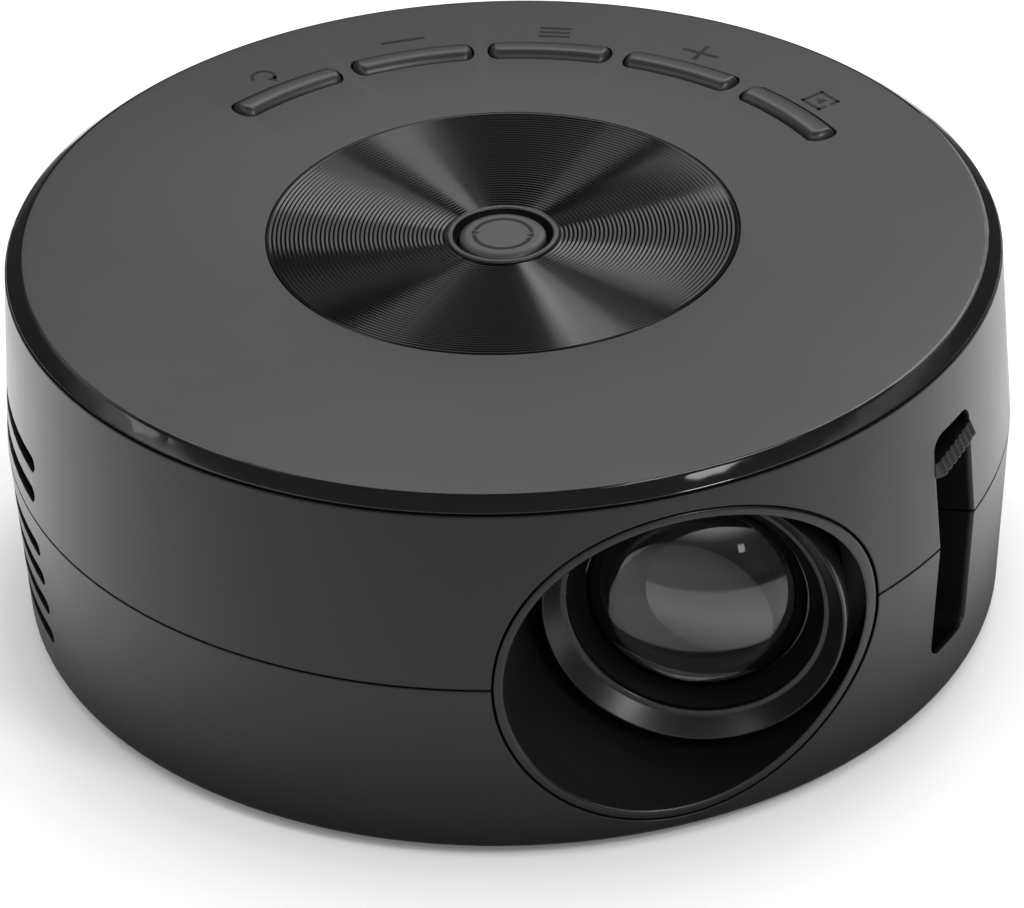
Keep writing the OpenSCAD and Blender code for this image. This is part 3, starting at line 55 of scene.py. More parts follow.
# %% [markdown]
# ## Camera
# The photograph was taken with a long lens from a little to the right of the lens axis and about 33 degrees
# above the table. A long lens keeps the round top close to a true ellipse. The camera is tilted a little
# about its own axis, so the roll is applied after it has been aimed.

# %% Place the camera
PHOTO_W = 1024
FOCAL_PX = 5294.9
SENSOR_MM = 36.0
STANDPOINT = (0.086525, -0.565446, 0.389070)
VIEW_AIM = Vector((-0.126434, 0.828893, -0.544932))
ROLL = math.radians(-1.809)
camera_data = bpy.data.cameras.new("camera")
camera_data.sensor_width = SENSOR_MM
camera_data.lens = FOCAL_PX / PHOTO_W * SENSOR_MM
camera_data.clip_end = 20.0
camera = bpy.data.objects.new("camera", camera_data)
scene.collection.objects.link(camera)
camera.location = STANDPOINT
camera.rotation_mode = "QUATERNION"
camera.rotation_quaternion = VIEW_AIM.to_track_quat("-Z", "Y") @ Quaternion((0, 0, 1), ROLL)
scene.camera = camera
print("lens", round(camera_data.lens, 1), "mm")

# %% [markdown]
# ## Node helpers
# Every finish is a small node tree. The helpers below keep the recipes short. The first adds a node and
# fills its inputs, each with a plain value or with another node's output. The others wrap the few nodes that
# come up again and again, and give back the output that the next node needs.

# %% Helpers for node trees
def add_node(tree, kind, inputs=None, **settings):
    made = tree.nodes.new(kind)
    for key, value in settings.items():
        setattr(made, key, value)
    for key, value in (inputs or {}).items():
        if isinstance(value, bpy.types.NodeSocket):
            tree.links.new(value, made.inputs[key])
        else:
            made.inputs[key].default_value = value
    return made


def join(tree, source, target):
    tree.links.new(source, target)


def maths(tree, operation, *terms):
    return add_node(tree, "ShaderNodeMath", dict(enumerate(terms)), operation=operation).outputs[0]


def vector_maths(tree, operation, *terms):
    made = add_node(tree, "ShaderNodeVectorMath", dict(enumerate(terms)), operation=operation)
    return made.outputs["Value" if operation in ("LENGTH", "DISTANCE") else "Vector"]


def ranged(tree, value, from_min, from_max, to_min, to_max):
    """Maps one span of values to another and stops at both ends."""
    spans = {"Value": value, "From Min": from_min, "From Max": from_max, "To Min": to_min, "To Max": to_max}
    return add_node(tree, "ShaderNodeMapRange", spans).outputs["Result"]


def blended(tree, factor, first, second, kind="RGBA"):
    """Mixes two colours, or two plain values."""
    mix = add_node(tree, "ShaderNodeMix", {"Factor": factor, "A": first, "B": second}, data_type=kind)
    return mix.outputs["Result"]


def object_place(tree):
    return add_node(tree, "ShaderNodeTexCoord").outputs["Object"]


def grey(level):
    return (level, level, level, 1.0)


def grey_ramp(tree, value, stops):
    """A ramp of greys from (position, level) pairs, the lowest first."""
    made = add_node(tree, "ShaderNodeValToRGB", {0: value})
    ramp = made.color_ramp
    for element, (position, level) in zip(ramp.elements, (stops[0], stops[-1])):
        element.position = position
        element.color = grey(level)
    for position, level in stops[1:-1]:
        ramp.elements.new(position).color = grey(level)
    return made.outputs[0]


print("node helpers ready")

# %% [markdown]
# ## Studio
# A black product on white is lit by what it mirrors. The camera sees plain white, and matt surfaces get an
# even fill, so that a colour renders about as it is written. Mirror rays see a studio: one bright band of
# backdrop some way above the table, with a dim gap below it and a dark ceiling over it. The band has soft
# edges, and it is stronger in front of the projector than behind. A wrapped picture of a room could do the
# same, but a ramp over the height of each ray is easier to tune.

# %% Build the surround
BACKDROP = 1.2
FILL = 1.0
FRONT_GAIN = 2.2
REAR_GAIN = 0.6
GAIN_TURN = 0.3
HEIGHT_LEVELS = [
    (0.34, 0.08), (0.47, 0.12), (0.54, 0.40), (0.61, 0.90),
    (0.65, 1.0), (0.69, 0.90), (0.745, 0.12), (0.84, 0.04),
]


def white_rays(tree):
    """The light path, and an output that is 1 for rays that show a background: camera, mirror and glass."""
    seen = add_node(tree, "ShaderNodeLightPath").outputs
    two = maths(tree, "MAXIMUM", seen["Is Camera Ray"], seen["Is Glossy Ray"])
    return seen, maths(tree, "MAXIMUM", two, seen["Is Transmission Ray"])


world = bpy.data.worlds.new("studio_surround")
scene.world = world
world.use_nodes = True
tree = world.node_tree
tree.nodes.clear()
seen, shows = white_rays(tree)
direction = add_node(tree, "ShaderNodeTexCoord").outputs["Generated"]
axes = add_node(tree, "ShaderNodeSeparateXYZ", {0: direction}).outputs
band = grey_ramp(tree, axes["Z"], HEIGHT_LEVELS)
gain = ranged(tree, axes["Y"], -GAIN_TURN, GAIN_TURN, FRONT_GAIN, REAR_GAIN)
studio = add_node(tree, "ShaderNodeVectorMath", {0: band, "Scale": gain}, operation="SCALE").outputs[0]
shown = blended(tree, seen["Is Camera Ray"], studio, grey(1.0 / BACKDROP))
fill = add_node(tree, "ShaderNodeBackground", {"Color": grey(1.0), "Strength": FILL}).outputs[0]
bright = add_node(tree, "ShaderNodeBackground", {"Color": shown, "Strength": BACKDROP}).outputs[0]
either = add_node(tree, "ShaderNodeMixShader", {0: shows, 1: fill, 2: bright}).outputs[0]
add_node(tree, "ShaderNodeOutputWorld", {"Surface": either})
print("surround", len(tree.nodes), "nodes")

# %% [markdown]
# ## Floor
# The projector stands on white paper. Plain white paint would come out grey beside the white backdrop, so
# the paper also glows for the camera. The glow fades out close to the body, which paints shade on the paper
# there. Together with the real shadow in the paint, it makes a tight shadow where the two meet. For mirror
# rays the paper is a painted pool of light, with a painted shadow next to the body. The pool is brighter to
# the left and right, because the lens and the lower wall mirror it.

# %% Lay the floor
FLOOR_R = 0.9
floor_bm = bmesh.new()
bmesh.ops.create_circle(floor_bm, cap_ends=True, segments=128, radius=FLOOR_R)
floor_mesh = bpy.data.meshes.new("floor")
floor_bm.to_mesh(floor_mesh)
floor_bm.free()
floor = bpy.data.objects.new("floor", floor_mesh)
scene.collection.objects.link(floor)
print("floor", 2 * FLOOR_R, "m across")

# %% Paint the floor
FLOOR_WHITE = 0.9
FLOOR_GLOW = 1.18
SHADOW_R = 0.066
OPEN_R = 0.096
SHADOW_SHARE = 0.02
OPEN_SHARE = 0.84
POOL_LEVELS = [
    (0.064, 0.10), (0.075, 0.55), (0.091, 1.0), (0.130, 0.95), (0.200, 0.85), (0.235, 0.20), (0.30, 0.10),
]
POOL_STRENGTH = 1.1
POOL_SIDES = 0.6
floor_paint = bpy.data.materials.new("floor_paint")
floor_paint.use_nodes = True
tree = floor_paint.node_tree
tree.nodes.clear()
seen, shows = white_rays(tree)
place = object_place(tree)
reach = vector_maths(tree, "LENGTH", place)
# Less glow close to the body is painted shade, added to the real shadow that the diffuse paint receives.
share = maths(tree, "MULTIPLY", shows, ranged(tree, reach, SHADOW_R, OPEN_R, SHADOW_SHARE, OPEN_SHARE))
paint = add_node(tree, "ShaderNodeBsdfDiffuse", {"Color": grey(FLOOR_WHITE)}).outputs[0]
glow = add_node(tree, "ShaderNodeEmission", {"Color": grey(1.0), "Strength": FLOOR_GLOW}).outputs[0]
paper = add_node(tree, "ShaderNodeMixShader", {0: share, 1: paint, 2: glow}).outputs[0]
aside = add_node(tree, "ShaderNodeSeparateXYZ", {0: vector_maths(tree, "NORMALIZE", place)}).outputs["X"]
lift = maths(tree, "MULTIPLY_ADD", maths(tree, "MULTIPLY", aside, aside), POOL_SIDES, POOL_STRENGTH)
# The pool is painted light for mirror rays: dark next to the body as a painted shadow, bright a little way
# out, dim far off.
lit = grey_ramp(tree, reach, POOL_LEVELS)
pool = add_node(tree, "ShaderNodeEmission", {"Color": lit, "Strength": lift}).outputs[0]
surface = add_node(tree, "ShaderNodeMixShader", {0: seen["Is Glossy Ray"], 1: paper, 2: pool}).outputs[0]
add_node(tree, "ShaderNodeOutputMaterial", {"Surface": surface})
floor.data.materials.append(floor_paint)
print("floor paint", len(tree.nodes), "nodes")

# %% [markdown]
# ## Soft boxes
# A backdrop alone gives flat reflections. Soft boxes add the bright fans on the turned disc, the streaks on
# the polished edge and the glints on the rings and the lens. Each is a small area lamp that faces the
# projector, and is named for what it lights. The panel hangs close behind the body, and a near lamp falls
# off over the matt top, so that the top is not the same grey all over.

# %% Hang the soft boxes
TABLE = Vector((0.0, 0.0, 0.03))
SOFT_BOXES = {
    "soft_box_key": (66, 63, 0.24, 0.12, 4.5),
    "soft_box_front_fan": (78, 65, 0.05, 0.09, 5.0),
    "soft_box_rear_fan": (65, 73, 0.05, 0.08, 9.0),
    "soft_box_panel": (95, 46, 0.32, 0.15, 2.9, 0.42),
    "soft_box_back": (133, 59, 0.14, 0.14, 0.8),
    "soft_box_rings": (72, 29, 0.34, 0.66, 1.6),
    "soft_box_left": (173, 43, 0.16, 0.10, 1.5),
    "soft_box_right": (349, 62, 0.12, 0.10, 7.0),
    "soft_box_low": (326, 44, 0.16, 0.16, 24.0),
    "soft_box_lens": (318, 35, 0.08, 0.12, 12.0),
    "soft_box_lens_low": (304, 20, 0.08, 0.10, 4.0),
}


def soft_box(name, azimuth, elevation, width, height, brightness, distance=1.0):
    """An area lamp that faces the projector. Brightness 1 looks like white paper."""
    a = math.radians(azimuth)
    e = math.radians(elevation)
    lamp = bpy.data.lights.new(name, "AREA")
    lamp.shape = "RECTANGLE"
    lamp.size = width
    lamp.size_y = height
    lamp.energy = brightness * math.pi * width * height
    holder = bpy.data.objects.new(name, lamp)
    scene.collection.objects.link(holder)
    away = Vector((math.cos(e) * math.cos(a), math.cos(e) * math.sin(a), math.sin(e)))
    holder.location = TABLE + away * distance
    holder.rotation_euler = away.to_track_quat("Z", "Y").to_euler()
    holder.visible_camera = False
    holder.visible_transmission = False


for name, values in SOFT_BOXES.items():
    soft_box(name, *values)
print("soft boxes", len(SOFT_BOXES))

# %% [markdown]
# ## Shared surface effects
# Most of the projector is moulded plastic. Its mould leaves a fine spark-eroded grain, and use leaves faint
# smudges. Each effect is one node group, placed in every finish that needs it with its own values. The
# groups put out masks and heights only, and the shaders stay in the materials.

# %% Make the grain and smudge groups
def effect_group(name, inputs, outputs):
    group = bpy.data.node_groups.new(name, "ShaderNodeTree")
    for label, value in inputs:
        socket = group.interface.new_socket(label, in_out="INPUT", socket_type="NodeSocketFloat")
        socket.default_value = value
    for label in outputs:
        group.interface.new_socket(label, in_out="OUTPUT", socket_type="NodeSocketFloat")
    return group, group.nodes.new("NodeGroupInput").outputs[0], group.nodes.new("NodeGroupOutput").inputs


mould_grain, scale, put = effect_group("mould_grain", [("Grains per metre", 4000.0)], ["Speckle", "Height"])
grain_at = {"Vector": object_place(mould_grain), "Scale": scale}
pits = add_node(mould_grain, "ShaderNodeTexVoronoi", {**grain_at, "Smoothness": 0.6}, feature="SMOOTH_F1")
cloud = add_node(mould_grain, "ShaderNodeTexNoise", {**grain_at, "Detail": 2.0, "Roughness": 0.6})
join(mould_grain, cloud.outputs[0], put["Speckle"])
join(mould_grain, pits.outputs["Distance"], put["Height"])

smudges, scale, put = effect_group("smudges", [("Patches per metre", 45.0)], ["Smudge"])
smudge_at = {"Vector": object_place(smudges), "Scale": scale}
cloud = add_node(smudges, "ShaderNodeTexNoise",
                 {**smudge_at, "Detail": 4.0, "Roughness": 0.55, "Distortion": 0.4})
join(smudges, cloud.outputs[0], put["Smudge"])
print("effects", [g.name for g in bpy.data.node_groups])

# %% [markdown]
# ## Moulded plastics and metals
# One recipe serves all moulded and plated pieces: two close tones mixed by the grain, a roughness that the
# smudges move a little, and the grain's height as a bump. A finish could be a tree of its own, but then each
# change would have to be made many times.

# %% The recipe for a grained finish
SMUDGES_PER_METRE = 45.0
FAINT_SMUDGE = 0.3
STRONG_SMUDGE = 0.7


def solid(tone):
    """A colour from one grey level or from red, green and blue."""
    return (*tone, 1.0) if isinstance(tone, tuple) else grey(tone)


def grained(name, tones, rough, grain, depth=0.0, metal=0.0, edge=0.0, shine=0.5):
    """Grain is in grains per metre. Depth, and the radius of softened edges, are in metres."""
    made = bpy.data.materials.new(name)
    made.use_nodes = True
    tree = made.node_tree
    shader = tree.nodes["Principled BSDF"]
    shader.inputs["Metallic"].default_value = metal
    shader.inputs["Specular IOR Level"].default_value = shine
    grains = add_node(tree, "ShaderNodeGroup", {0: grain}, node_tree=mould_grain).outputs
    marks = add_node(tree, "ShaderNodeGroup", {0: SMUDGES_PER_METRE}, node_tree=smudges).outputs
    bump = add_node(tree, "ShaderNodeBump", {"Strength": 1.0, "Distance": depth, "Height": grains["Height"]})
    if edge:
        rounded = add_node(tree, "ShaderNodeBevel", {"Radius": edge}, samples=6)
        join(tree, rounded.outputs[0], bump.inputs["Normal"])
    colour = blended(tree, grains["Speckle"], solid(tones[0]), solid(tones[1]))
    join(tree, colour, shader.inputs["Base Color"])
    gloss = ranged(tree, marks["Smudge"], FAINT_SMUDGE, STRONG_SMUDGE, *rough)
    join(tree, gloss, shader.inputs["Roughness"])
    join(tree, bump.outputs["Normal"], shader.inputs["Normal"])
    return made


print("recipe ready")

# %% [markdown]
# ## The finishes
# Seen close, the black body is not one black. The top is matt, its edge polished, the wall satin, the button
# a little paler and the insides of the lens nearly without reflection. Each row states only what sets that
# finish apart: its tones, its roughness, and how fine and deep its grain is.

# %% Mix the finishes
FINISHES = {
    "matt_top": dict(tones=(0.012, 0.016), rough=(0.43, 0.47), grain=5200, depth=0.000007),
    "polished_edge": dict(tones=(0.006, 0.008), rough=(0.05, 0.08), grain=240, depth=0.00007),
    "satin_wall": dict(tones=(0.006, 0.009), rough=(0.26, 0.30), grain=5200, depth=0.000004,
                       edge=0.0003, shine=0.35),
    "key_plastic": dict(tones=(0.012, 0.016), rough=(0.34, 0.40), grain=5200, depth=0.000003),
    "button_face": dict(tones=(0.026, 0.032), rough=(0.40, 0.46), grain=5200, depth=0.000003),
    "nose_plastic": dict(tones=(0.005, 0.008), rough=(0.24, 0.30), grain=5200, depth=0.000003, shine=0.38),
    "crest_gloss": dict(tones=(0.004, 0.006), rough=(0.16, 0.22), grain=3000),
    "ring_plastic": dict(tones=(0.014, 0.018), rough=(0.34, 0.40), grain=5200, depth=0.000003),
    "lever_plastic": dict(tones=(0.006, 0.009), rough=(0.20, 0.26), grain=4500, depth=0.000003, edge=0.0002),
    "barrel_black": dict(tones=(0.0015, 0.003), rough=(0.50, 0.60), grain=4500, depth=0.000004, shine=0.06),
    "recess_black": dict(tones=(0.004, 0.006), rough=(0.38, 0.46), grain=4500, depth=0.000004, shine=0.25),
    "symbol_ink": dict(tones=(0.003, 0.005), rough=(0.50, 0.58), grain=5200, depth=0.000003, shine=0.25),
    "dark_panel": dict(tones=((0.012, 0.014, 0.02), (0.02, 0.022, 0.03)), rough=(0.12, 0.18), grain=3000),
    "mirror_sheet": dict(tones=((0.80, 0.81, 0.82), 0.86), rough=(0.10, 0.16), grain=900, metal=1.0),
    "lamp_board": dict(tones=((0.70, 0.71, 0.70), (0.78, 0.78, 0.76)), rough=(0.35, 0.45), grain=1800,
                       depth=0.000003),
    "sink_alloy": dict(tones=((0.62, 0.63, 0.64), (0.70, 0.71, 0.72)), rough=(0.32, 0.42), grain=2600,
                       depth=0.000004, metal=1.0),
    "bright_steel": dict(tones=((0.52, 0.52, 0.53), (0.62, 0.62, 0.63)), rough=(0.22, 0.32), grain=3000,
                         depth=0.000002, metal=1.0),
    "fan_plastic": dict(tones=(0.014, 0.02), rough=(0.38, 0.46), grain=3600, depth=0.000004),
    "speaker_paper": dict(tones=((0.05, 0.05, 0.052), 0.09), rough=(0.7, 0.8), grain=2400, depth=0.00002),
    "board_lacquer": dict(tones=((0.01, 0.075, 0.03), (0.016, 0.11, 0.045)), rough=(0.25, 0.35), grain=900,
                          depth=0.000004),
    "part_black": dict(tones=(0.018, 0.026), rough=(0.40, 0.50), grain=3600, depth=0.000004),
    "amber_film": dict(tones=((0.42, 0.20, 0.035), (0.50, 0.25, 0.05)), rough=(0.25, 0.35), grain=1400,
                       depth=0.000002),
    "white_wire": dict(tones=((0.62, 0.62, 0.60), (0.70, 0.70, 0.68)), rough=(0.40, 0.50), grain=1800,
                       depth=0.000004),
    "brass": dict(tones=((0.62, 0.43, 0.16), (0.72, 0.52, 0.22)), rough=(0.24, 0.34), grain=2600,
                  depth=0.000002, metal=1.0),
    "foot_rubber": dict(tones=(0.016, 0.024), rough=(0.75, 0.85), grain=3200, depth=0.00001),
    "disc_metal": dict(tones=(0.026, 0.032), rough=(0.10, 0.14), grain=6000, metal=1.0),
}
finish = {name: grained(name, **values) for name, values in FINISHES.items()}
print("grained finishes", len(finish))

# %% [markdown]
# ## Dull insides of the shells, with painted shade
# The two shells are black right through, but only the outer face has the satin finish. Inside the slots the
# tool left a dull face that mirrors almost nothing, and its colour is darkened to near black as painted
# shade. A second material would need a second mesh, so a mask tells the two apart: how deep a point lies
# behind the outer wall. The wall is two cones that meet at the seam, so its radius follows from the height.
# The underside counts as outside.

# %% Dull the satin wall where it turns inwards, and paint shade into it there
WALL_R = 64.0
FOOT_R = 62.8
FOOT_Z = 2.4
SEAM_Z = 25.6
UNDERSIDE_Z = 3.5
CHAMFER_DROP = 1.5
SKIN = 0.2
DULL_AND_SHADE_FROM = 0.7
cover_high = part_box("top_cover")[1]
EDGE_R = cover_high.x / MM
TOP_Z = cover_high.z / MM
EDGE_Z = TOP_Z - CHAMFER_DROP
tree = finish["satin_wall"].node_tree
shader = tree.nodes["Principled BSDF"]
place = object_place(tree)
radius = vector_maths(tree, "LENGTH", vector_maths(tree, "MULTIPLY", place, (1, 1, 0)))
height = add_node(tree, "ShaderNodeSeparateXYZ", {0: place}).outputs["Z"]
lower = ranged(tree, height, FOOT_Z * MM, SEAM_Z * MM, FOOT_R * MM, WALL_R * MM)
upper = ranged(tree, height, SEAM_Z * MM, EDGE_Z * MM, WALL_R * MM, EDGE_R * MM)
deep = maths(tree, "SUBTRACT", maths(tree, "MINIMUM", lower, upper), radius)
buried = maths(tree, "SUBTRACT", deep, maths(tree, "LESS_THAN", height, UNDERSIDE_Z * MM))
inner = ranged(tree, buried, SKIN * MM, DULL_AND_SHADE_FROM * MM, 0.0, 1.0)
sheen = ranged(tree, buried, SKIN * MM, DULL_AND_SHADE_FROM * MM, FINISHES["satin_wall"]["shine"], 0.06)
join(tree, sheen, shader.inputs["Specular IOR Level"])
# Where the mask is 1 the roughness rises and the base colour goes near black: painted shade in the slots and
# the seam.
for label, dull_and_shade, kind in (("Roughness", 0.6, "FLOAT"), ("Base Color", grey(0.0012), "RGBA")):
    satin = shader.inputs[label].links[0].from_socket
    join(tree, blended(tree, inner, satin, dull_and_shade, kind), shader.inputs[label])
print("satin wall dulled inside")

# %% [markdown]
# ## Optical glass
# The lenses are clear mouldings. Glass is mostly what it mirrors and bends, so the shader is plain smooth
# transmission, with a tint that faint smudges vary.

# %% Make the glass
glass = bpy.data.materials.new("clear_glass")
glass.use_nodes = True
tree = glass.node_tree
shader = tree.nodes["Principled BSDF"]
shader.inputs["Roughness"].default_value = 0.0
shader.inputs["IOR"].default_value = 1.6
shader.inputs["Transmission Weight"].default_value = 1.0
marks = add_node(tree, "ShaderNodeGroup", {0: 120.0}, node_tree=smudges)
tint = blended(tree, marks.outputs["Smudge"], (0.93, 0.95, 0.95, 1.0), grey(0.98))
join(tree, tint, shader.inputs["Base Color"])
finish["clear_glass"] = glass
print("glass ready")

# %% [markdown]
# ## Lens barrel
# The barrel is a dark moulding, painted black outside and in front so that stray light dies there. The bore
# between the two lenses is left bare and is a little paler. One mask splits the two looks: the distance from
# the lens axis, worked out from object coordinates.

# %% Make the two-tone barrel
BORE_R = 12.3
glass_low, glass_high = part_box("front_lens")
LENS_X = (glass_low.x + glass_high.x) / 2
LENS_Z = (glass_low.z + glass_high.z) / 2
barrel = grained("barrel_two_tone", (0.005, 0.008), (0.45, 0.55), 4500, shine=0.15)
tree = barrel.node_tree
shader = tree.nodes["Principled BSDF"]
painted = shader.inputs["Base Color"].links[0].from_socket
across = vector_maths(tree, "MULTIPLY", object_place(tree), (1, 0, 1))
from_axis = vector_maths(tree, "DISTANCE", across, (LENS_X, 0, LENS_Z))
in_bore = maths(tree, "LESS_THAN", from_axis, BORE_R * MM)
join(tree, blended(tree, in_bore, painted, grey(0.03)), shader.inputs["Base Color"])
finish["barrel_two_tone"] = barrel
print("barrel ready")

# %% [markdown]
# ## Finishes on the CAD pieces
# The CAD pieces keep their meshes. Each gets its finish by name, so that nothing is left with a plain colour.

# %% Give every CAD piece its finish
worn_by = {
    "matt_top": ["top_cover"],
    "satin_wall": ["upper_shell", "lower_shell"],
    "key_plastic": ["key_return", "key_minus", "key_menu", "key_plus", "key_input", "center_button"],
    "ring_plastic": ["button_collar", "lens_bezel", "nose_ring", "port_panel"],
    "lever_plastic": ["focus_ring"],
    "barrel_two_tone": ["lens_barrel"],
    "barrel_black": ["lens_retainer", "rear_retainer", "lens_mount", "optics_box", "panel_frame"],
    "clear_glass": ["front_lens", "rear_lens", "field_lens", "heat_glass", "condenser_lens"],
    "dark_panel": ["lcd_panel"],
    "mirror_sheet": ["light_tunnel"],
    "lamp_board": ["led_board"],
    "sink_alloy": ["heat_sink", "spun_disc"],
    "bright_steel": ["sink_screws", "focus_pin", "focus_clip", "board_screws", "key_board_screws",
                     "cover_screws", "case_screws", "usb_socket"],
    "fan_plastic": ["fan_frame", "fan_rotor"],
    "speaker_paper": ["speaker_cone"],
    "board_lacquer": ["main_board", "key_board"],
    "part_black": ["speaker_basket", "board_parts", "audio_jack", "power_jack", "key_switches"],
    "amber_film": ["panel_flex"],
    "white_wire": ["key_ribbon", "fan_lead", "speaker_lead", "led_lead"],
    "brass": ["tripod_insert"],
    "foot_rubber": ["foot_pads"],
}
for look, names in worn_by.items():
    for name in names:
        slots = nodes[name].data.materials
        slots.clear()
        slots.append(finish[look])
dressed = sum(len(names) for names in worn_by.values())
print("dressed", dressed, "of", len(nodes))

# %% [markdown]
# ## Turned pieces
# The cover, disc, collar, button and lens rings are all round. Each is one closed profile, with its corners
# rounded by a vertex bevel, spun a full turn. Rounded corners matter on black plastic, because a thin line
# of light along the edge is most of what the eye sees of it.

# %% Helpers for turned pieces
FINE = 256
UPRIGHT = Matrix.Identity(4)
ALONG_LENS = Matrix.Translation((LENS_X, 0, LENS_Z)) @ Matrix.Rotation(-math.pi / 2, 4, "X")


def spin_round(bm, place, steps):
    """Spins an outline a full turn about the upright axis, closes it and moves it to its place."""
    bmesh.ops.spin(bm, geom=bm.verts[:] + bm.edges[:], cent=(0, 0, 0), axis=(0, 0, 1),
                   angle=2 * math.pi, steps=steps, use_merge=True)
    bmesh.ops.remove_doubles(bm, verts=bm.verts[:], dist=1e-7)
    bmesh.ops.recalc_face_normals(bm, faces=bm.faces[:])
    bmesh.ops.transform(bm, matrix=place, verts=bm.verts[:])


def soften(bm, corners, size, segments):
    bmesh.ops.bevel(bm, geom=corners, offset=size * MM, offset_type="OFFSET", affect="VERTICES",
                    segments=segments, profile=0.5, material=-1)


def turned(profile, rounds, place, steps=192):
    """A bmesh of a closed profile of (radius, height) in mm, its corners rounded, spun a full turn."""
    bm = bmesh.new()
    corners = [bm.verts.new((r * MM, 0, h * MM)) for r, h in profile]
    bm.faces.new(corners)
    for size, which in rounds:
        soften(bm, [corners[which]], size, 6)
    bmesh.ops.delete(bm, geom=bm.faces[:], context="FACES_ONLY")
    spin_round(bm, place, steps)
    return bm


def second_finish(bm, wanted):
    """Gives the faces that pass a test the second finish of their piece."""
    for face in bm.faces:
        face.material_index = 1 if wanted(face) else 0


def settle(bm, name, body, looks, stands_for=(), sharp=35):
    """Makes the bmesh a piece that rides on a body and stands for CAD nodes."""
    mesh = bpy.data.meshes.new(name)
    bm.to_mesh(mesh)
    bm.free()
    mesh.shade_smooth()
    mesh.set_sharp_from_angle(angle=math.radians(sharp))
    for look in looks:
        mesh.materials.append(finish[look])
    piece = bpy.data.objects.new(name, mesh)
    scene.collection.objects.link(piece)
    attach(piece, body)
    if stands_for:
        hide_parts(*stands_for)
    print(name, len(mesh.polygons), "faces")
    return piece


print("lens axis at", round(LENS_X / MM, 2), round(LENS_Z / MM, 2))

# %% [markdown]
# ## Spun disc
# The disc in the middle of the top is black metal, turned with about forty fine grooves. The grooves are
# modelled, not painted: each groove's two flanks mirror the studio to either side, and that alone makes the
# bright fans that swing round as the view moves. The disc is slightly dished towards the button.

# %% Turn the disc
disc_low, disc_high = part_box("spun_disc")
DISC_R = disc_high.x / MM
DISC_TOP = disc_high.z / MM
DISC_LOW = disc_low.z / MM
DISC_HOLE = 6.9
DISH = 0.9
GROOVE_PITCH = 0.55
GROOVE_DEEP = 0.10
RIM = 0.35
BREAK = 0.1
LAND = 0.2


def disc_height(r):
    return DISC_TOP - DISH * (DISC_R - r) / (DISC_R - DISC_HOLE)


disc_profile = [
    (DISC_HOLE, DISC_LOW), (DISC_R, DISC_LOW), (DISC_R, DISC_TOP - BREAK), (DISC_R - BREAK, DISC_TOP),
]
groove = DISC_R - RIM
while groove - GROOVE_PITCH > DISC_HOLE + LAND:
    bottom = groove - 0.5 * GROOVE_PITCH
    disc_profile.append((groove, disc_height(groove)))
    disc_profile.append((bottom, disc_height(bottom) - GROOVE_DEEP))
    groove -= GROOVE_PITCH
disc_profile.append((groove, disc_height(groove)))
disc_profile.append((DISC_HOLE, disc_height(DISC_HOLE)))
settle(turned(disc_profile, [], UPRIGHT, FINE), "grooved_disc", "housing", ["disc_metal"],
       ["spun_disc"], 15)

# %% [markdown]
# ## Top cover
# The cover is one moulding with two finishes: a matt top and a polished chamfer all round it. The chamfer is
# a second material on the same mesh, split where the profile turns the corner.

# %% Turn the cover
CHAMFER_RUN = 2.0
COVER_THICK = 2.4
COVER_LIP = 2.4
TOP_R = EDGE_R - CHAMFER_RUN
COVER_Z = TOP_Z - COVER_THICK
SEAT_R = DISC_R + 0.1
cover_profile = [
    (DISC_HOLE, COVER_Z), (EDGE_R - COVER_LIP, COVER_Z), (EDGE_R - COVER_LIP, EDGE_Z), (EDGE_R, EDGE_Z),
    (TOP_R, TOP_Z), (TOP_R - 1.2, TOP_Z), (SEAT_R, TOP_Z), (SEAT_R, DISC_LOW), (DISC_HOLE, DISC_LOW),
]
cover_bm = turned(cover_profile, [(0.35, 3), (0.35, 4), (0.12, 6)], UPRIGHT, FINE)
second_finish(cover_bm, lambda face: face.calc_center_median().xy.length > (TOP_R - 0.2) * MM)
cover = settle(cover_bm, "matt_cover", "housing", ["matt_top", "polished_edge"], ["top_cover"])

# %% [markdown]
# ## Key slots
# Each key stands in a slot that follows its outline with a small gap. Both have the same form: a bar bent
# along an arc about the middle of the top, with round ends that are a little flattened. Rounding the ends of
# a square bar with a bevel fails where the roundings meet, so a section is swung instead: once along the
# arc, and half a turn at each end. A boolean then cuts the slots out of the cover.

# %% A bent bar with round ends
KEY_AZ = {"return": 135.5, "minus": 112.75, "menu": 90.0, "plus": 67.25, "input": 44.5}
KEY_R = 46.45
KEY_W = 4.1
KEY_SPAN = 20.0
END_FLAT = 0.62


def sweep(bm, corners, soft, which, place, centre, angle, flat=1.0):
    """Adds the walls that a section leaves when it swings about an upright axis, flattened along the bar."""
    part = bmesh.new()
    verts = [part.verts.new((x * MM, 0, z * MM)) for x, z in corners]
    part.faces.new(verts)
    if soft:
        soften(part, [verts[i] for i in which], soft, 8)
    bmesh.ops.delete(part, geom=part.faces[:], context="FACES_ONLY")
    bmesh.ops.transform(part, matrix=place, verts=part.verts[:])
    bmesh.ops.spin(part, geom=part.verts[:] + part.edges[:], cent=centre, axis=(0, 0, 1), angle=angle,
                   steps=24)
    bmesh.ops.scale(part, vec=(1, flat, 1), space=place.inverted(), verts=part.verts[:])
    mesh = bpy.data.meshes.new("sweep")
    part.to_mesh(mesh)
    part.free()
    bm.from_mesh(mesh)
    bpy.data.meshes.remove(mesh)


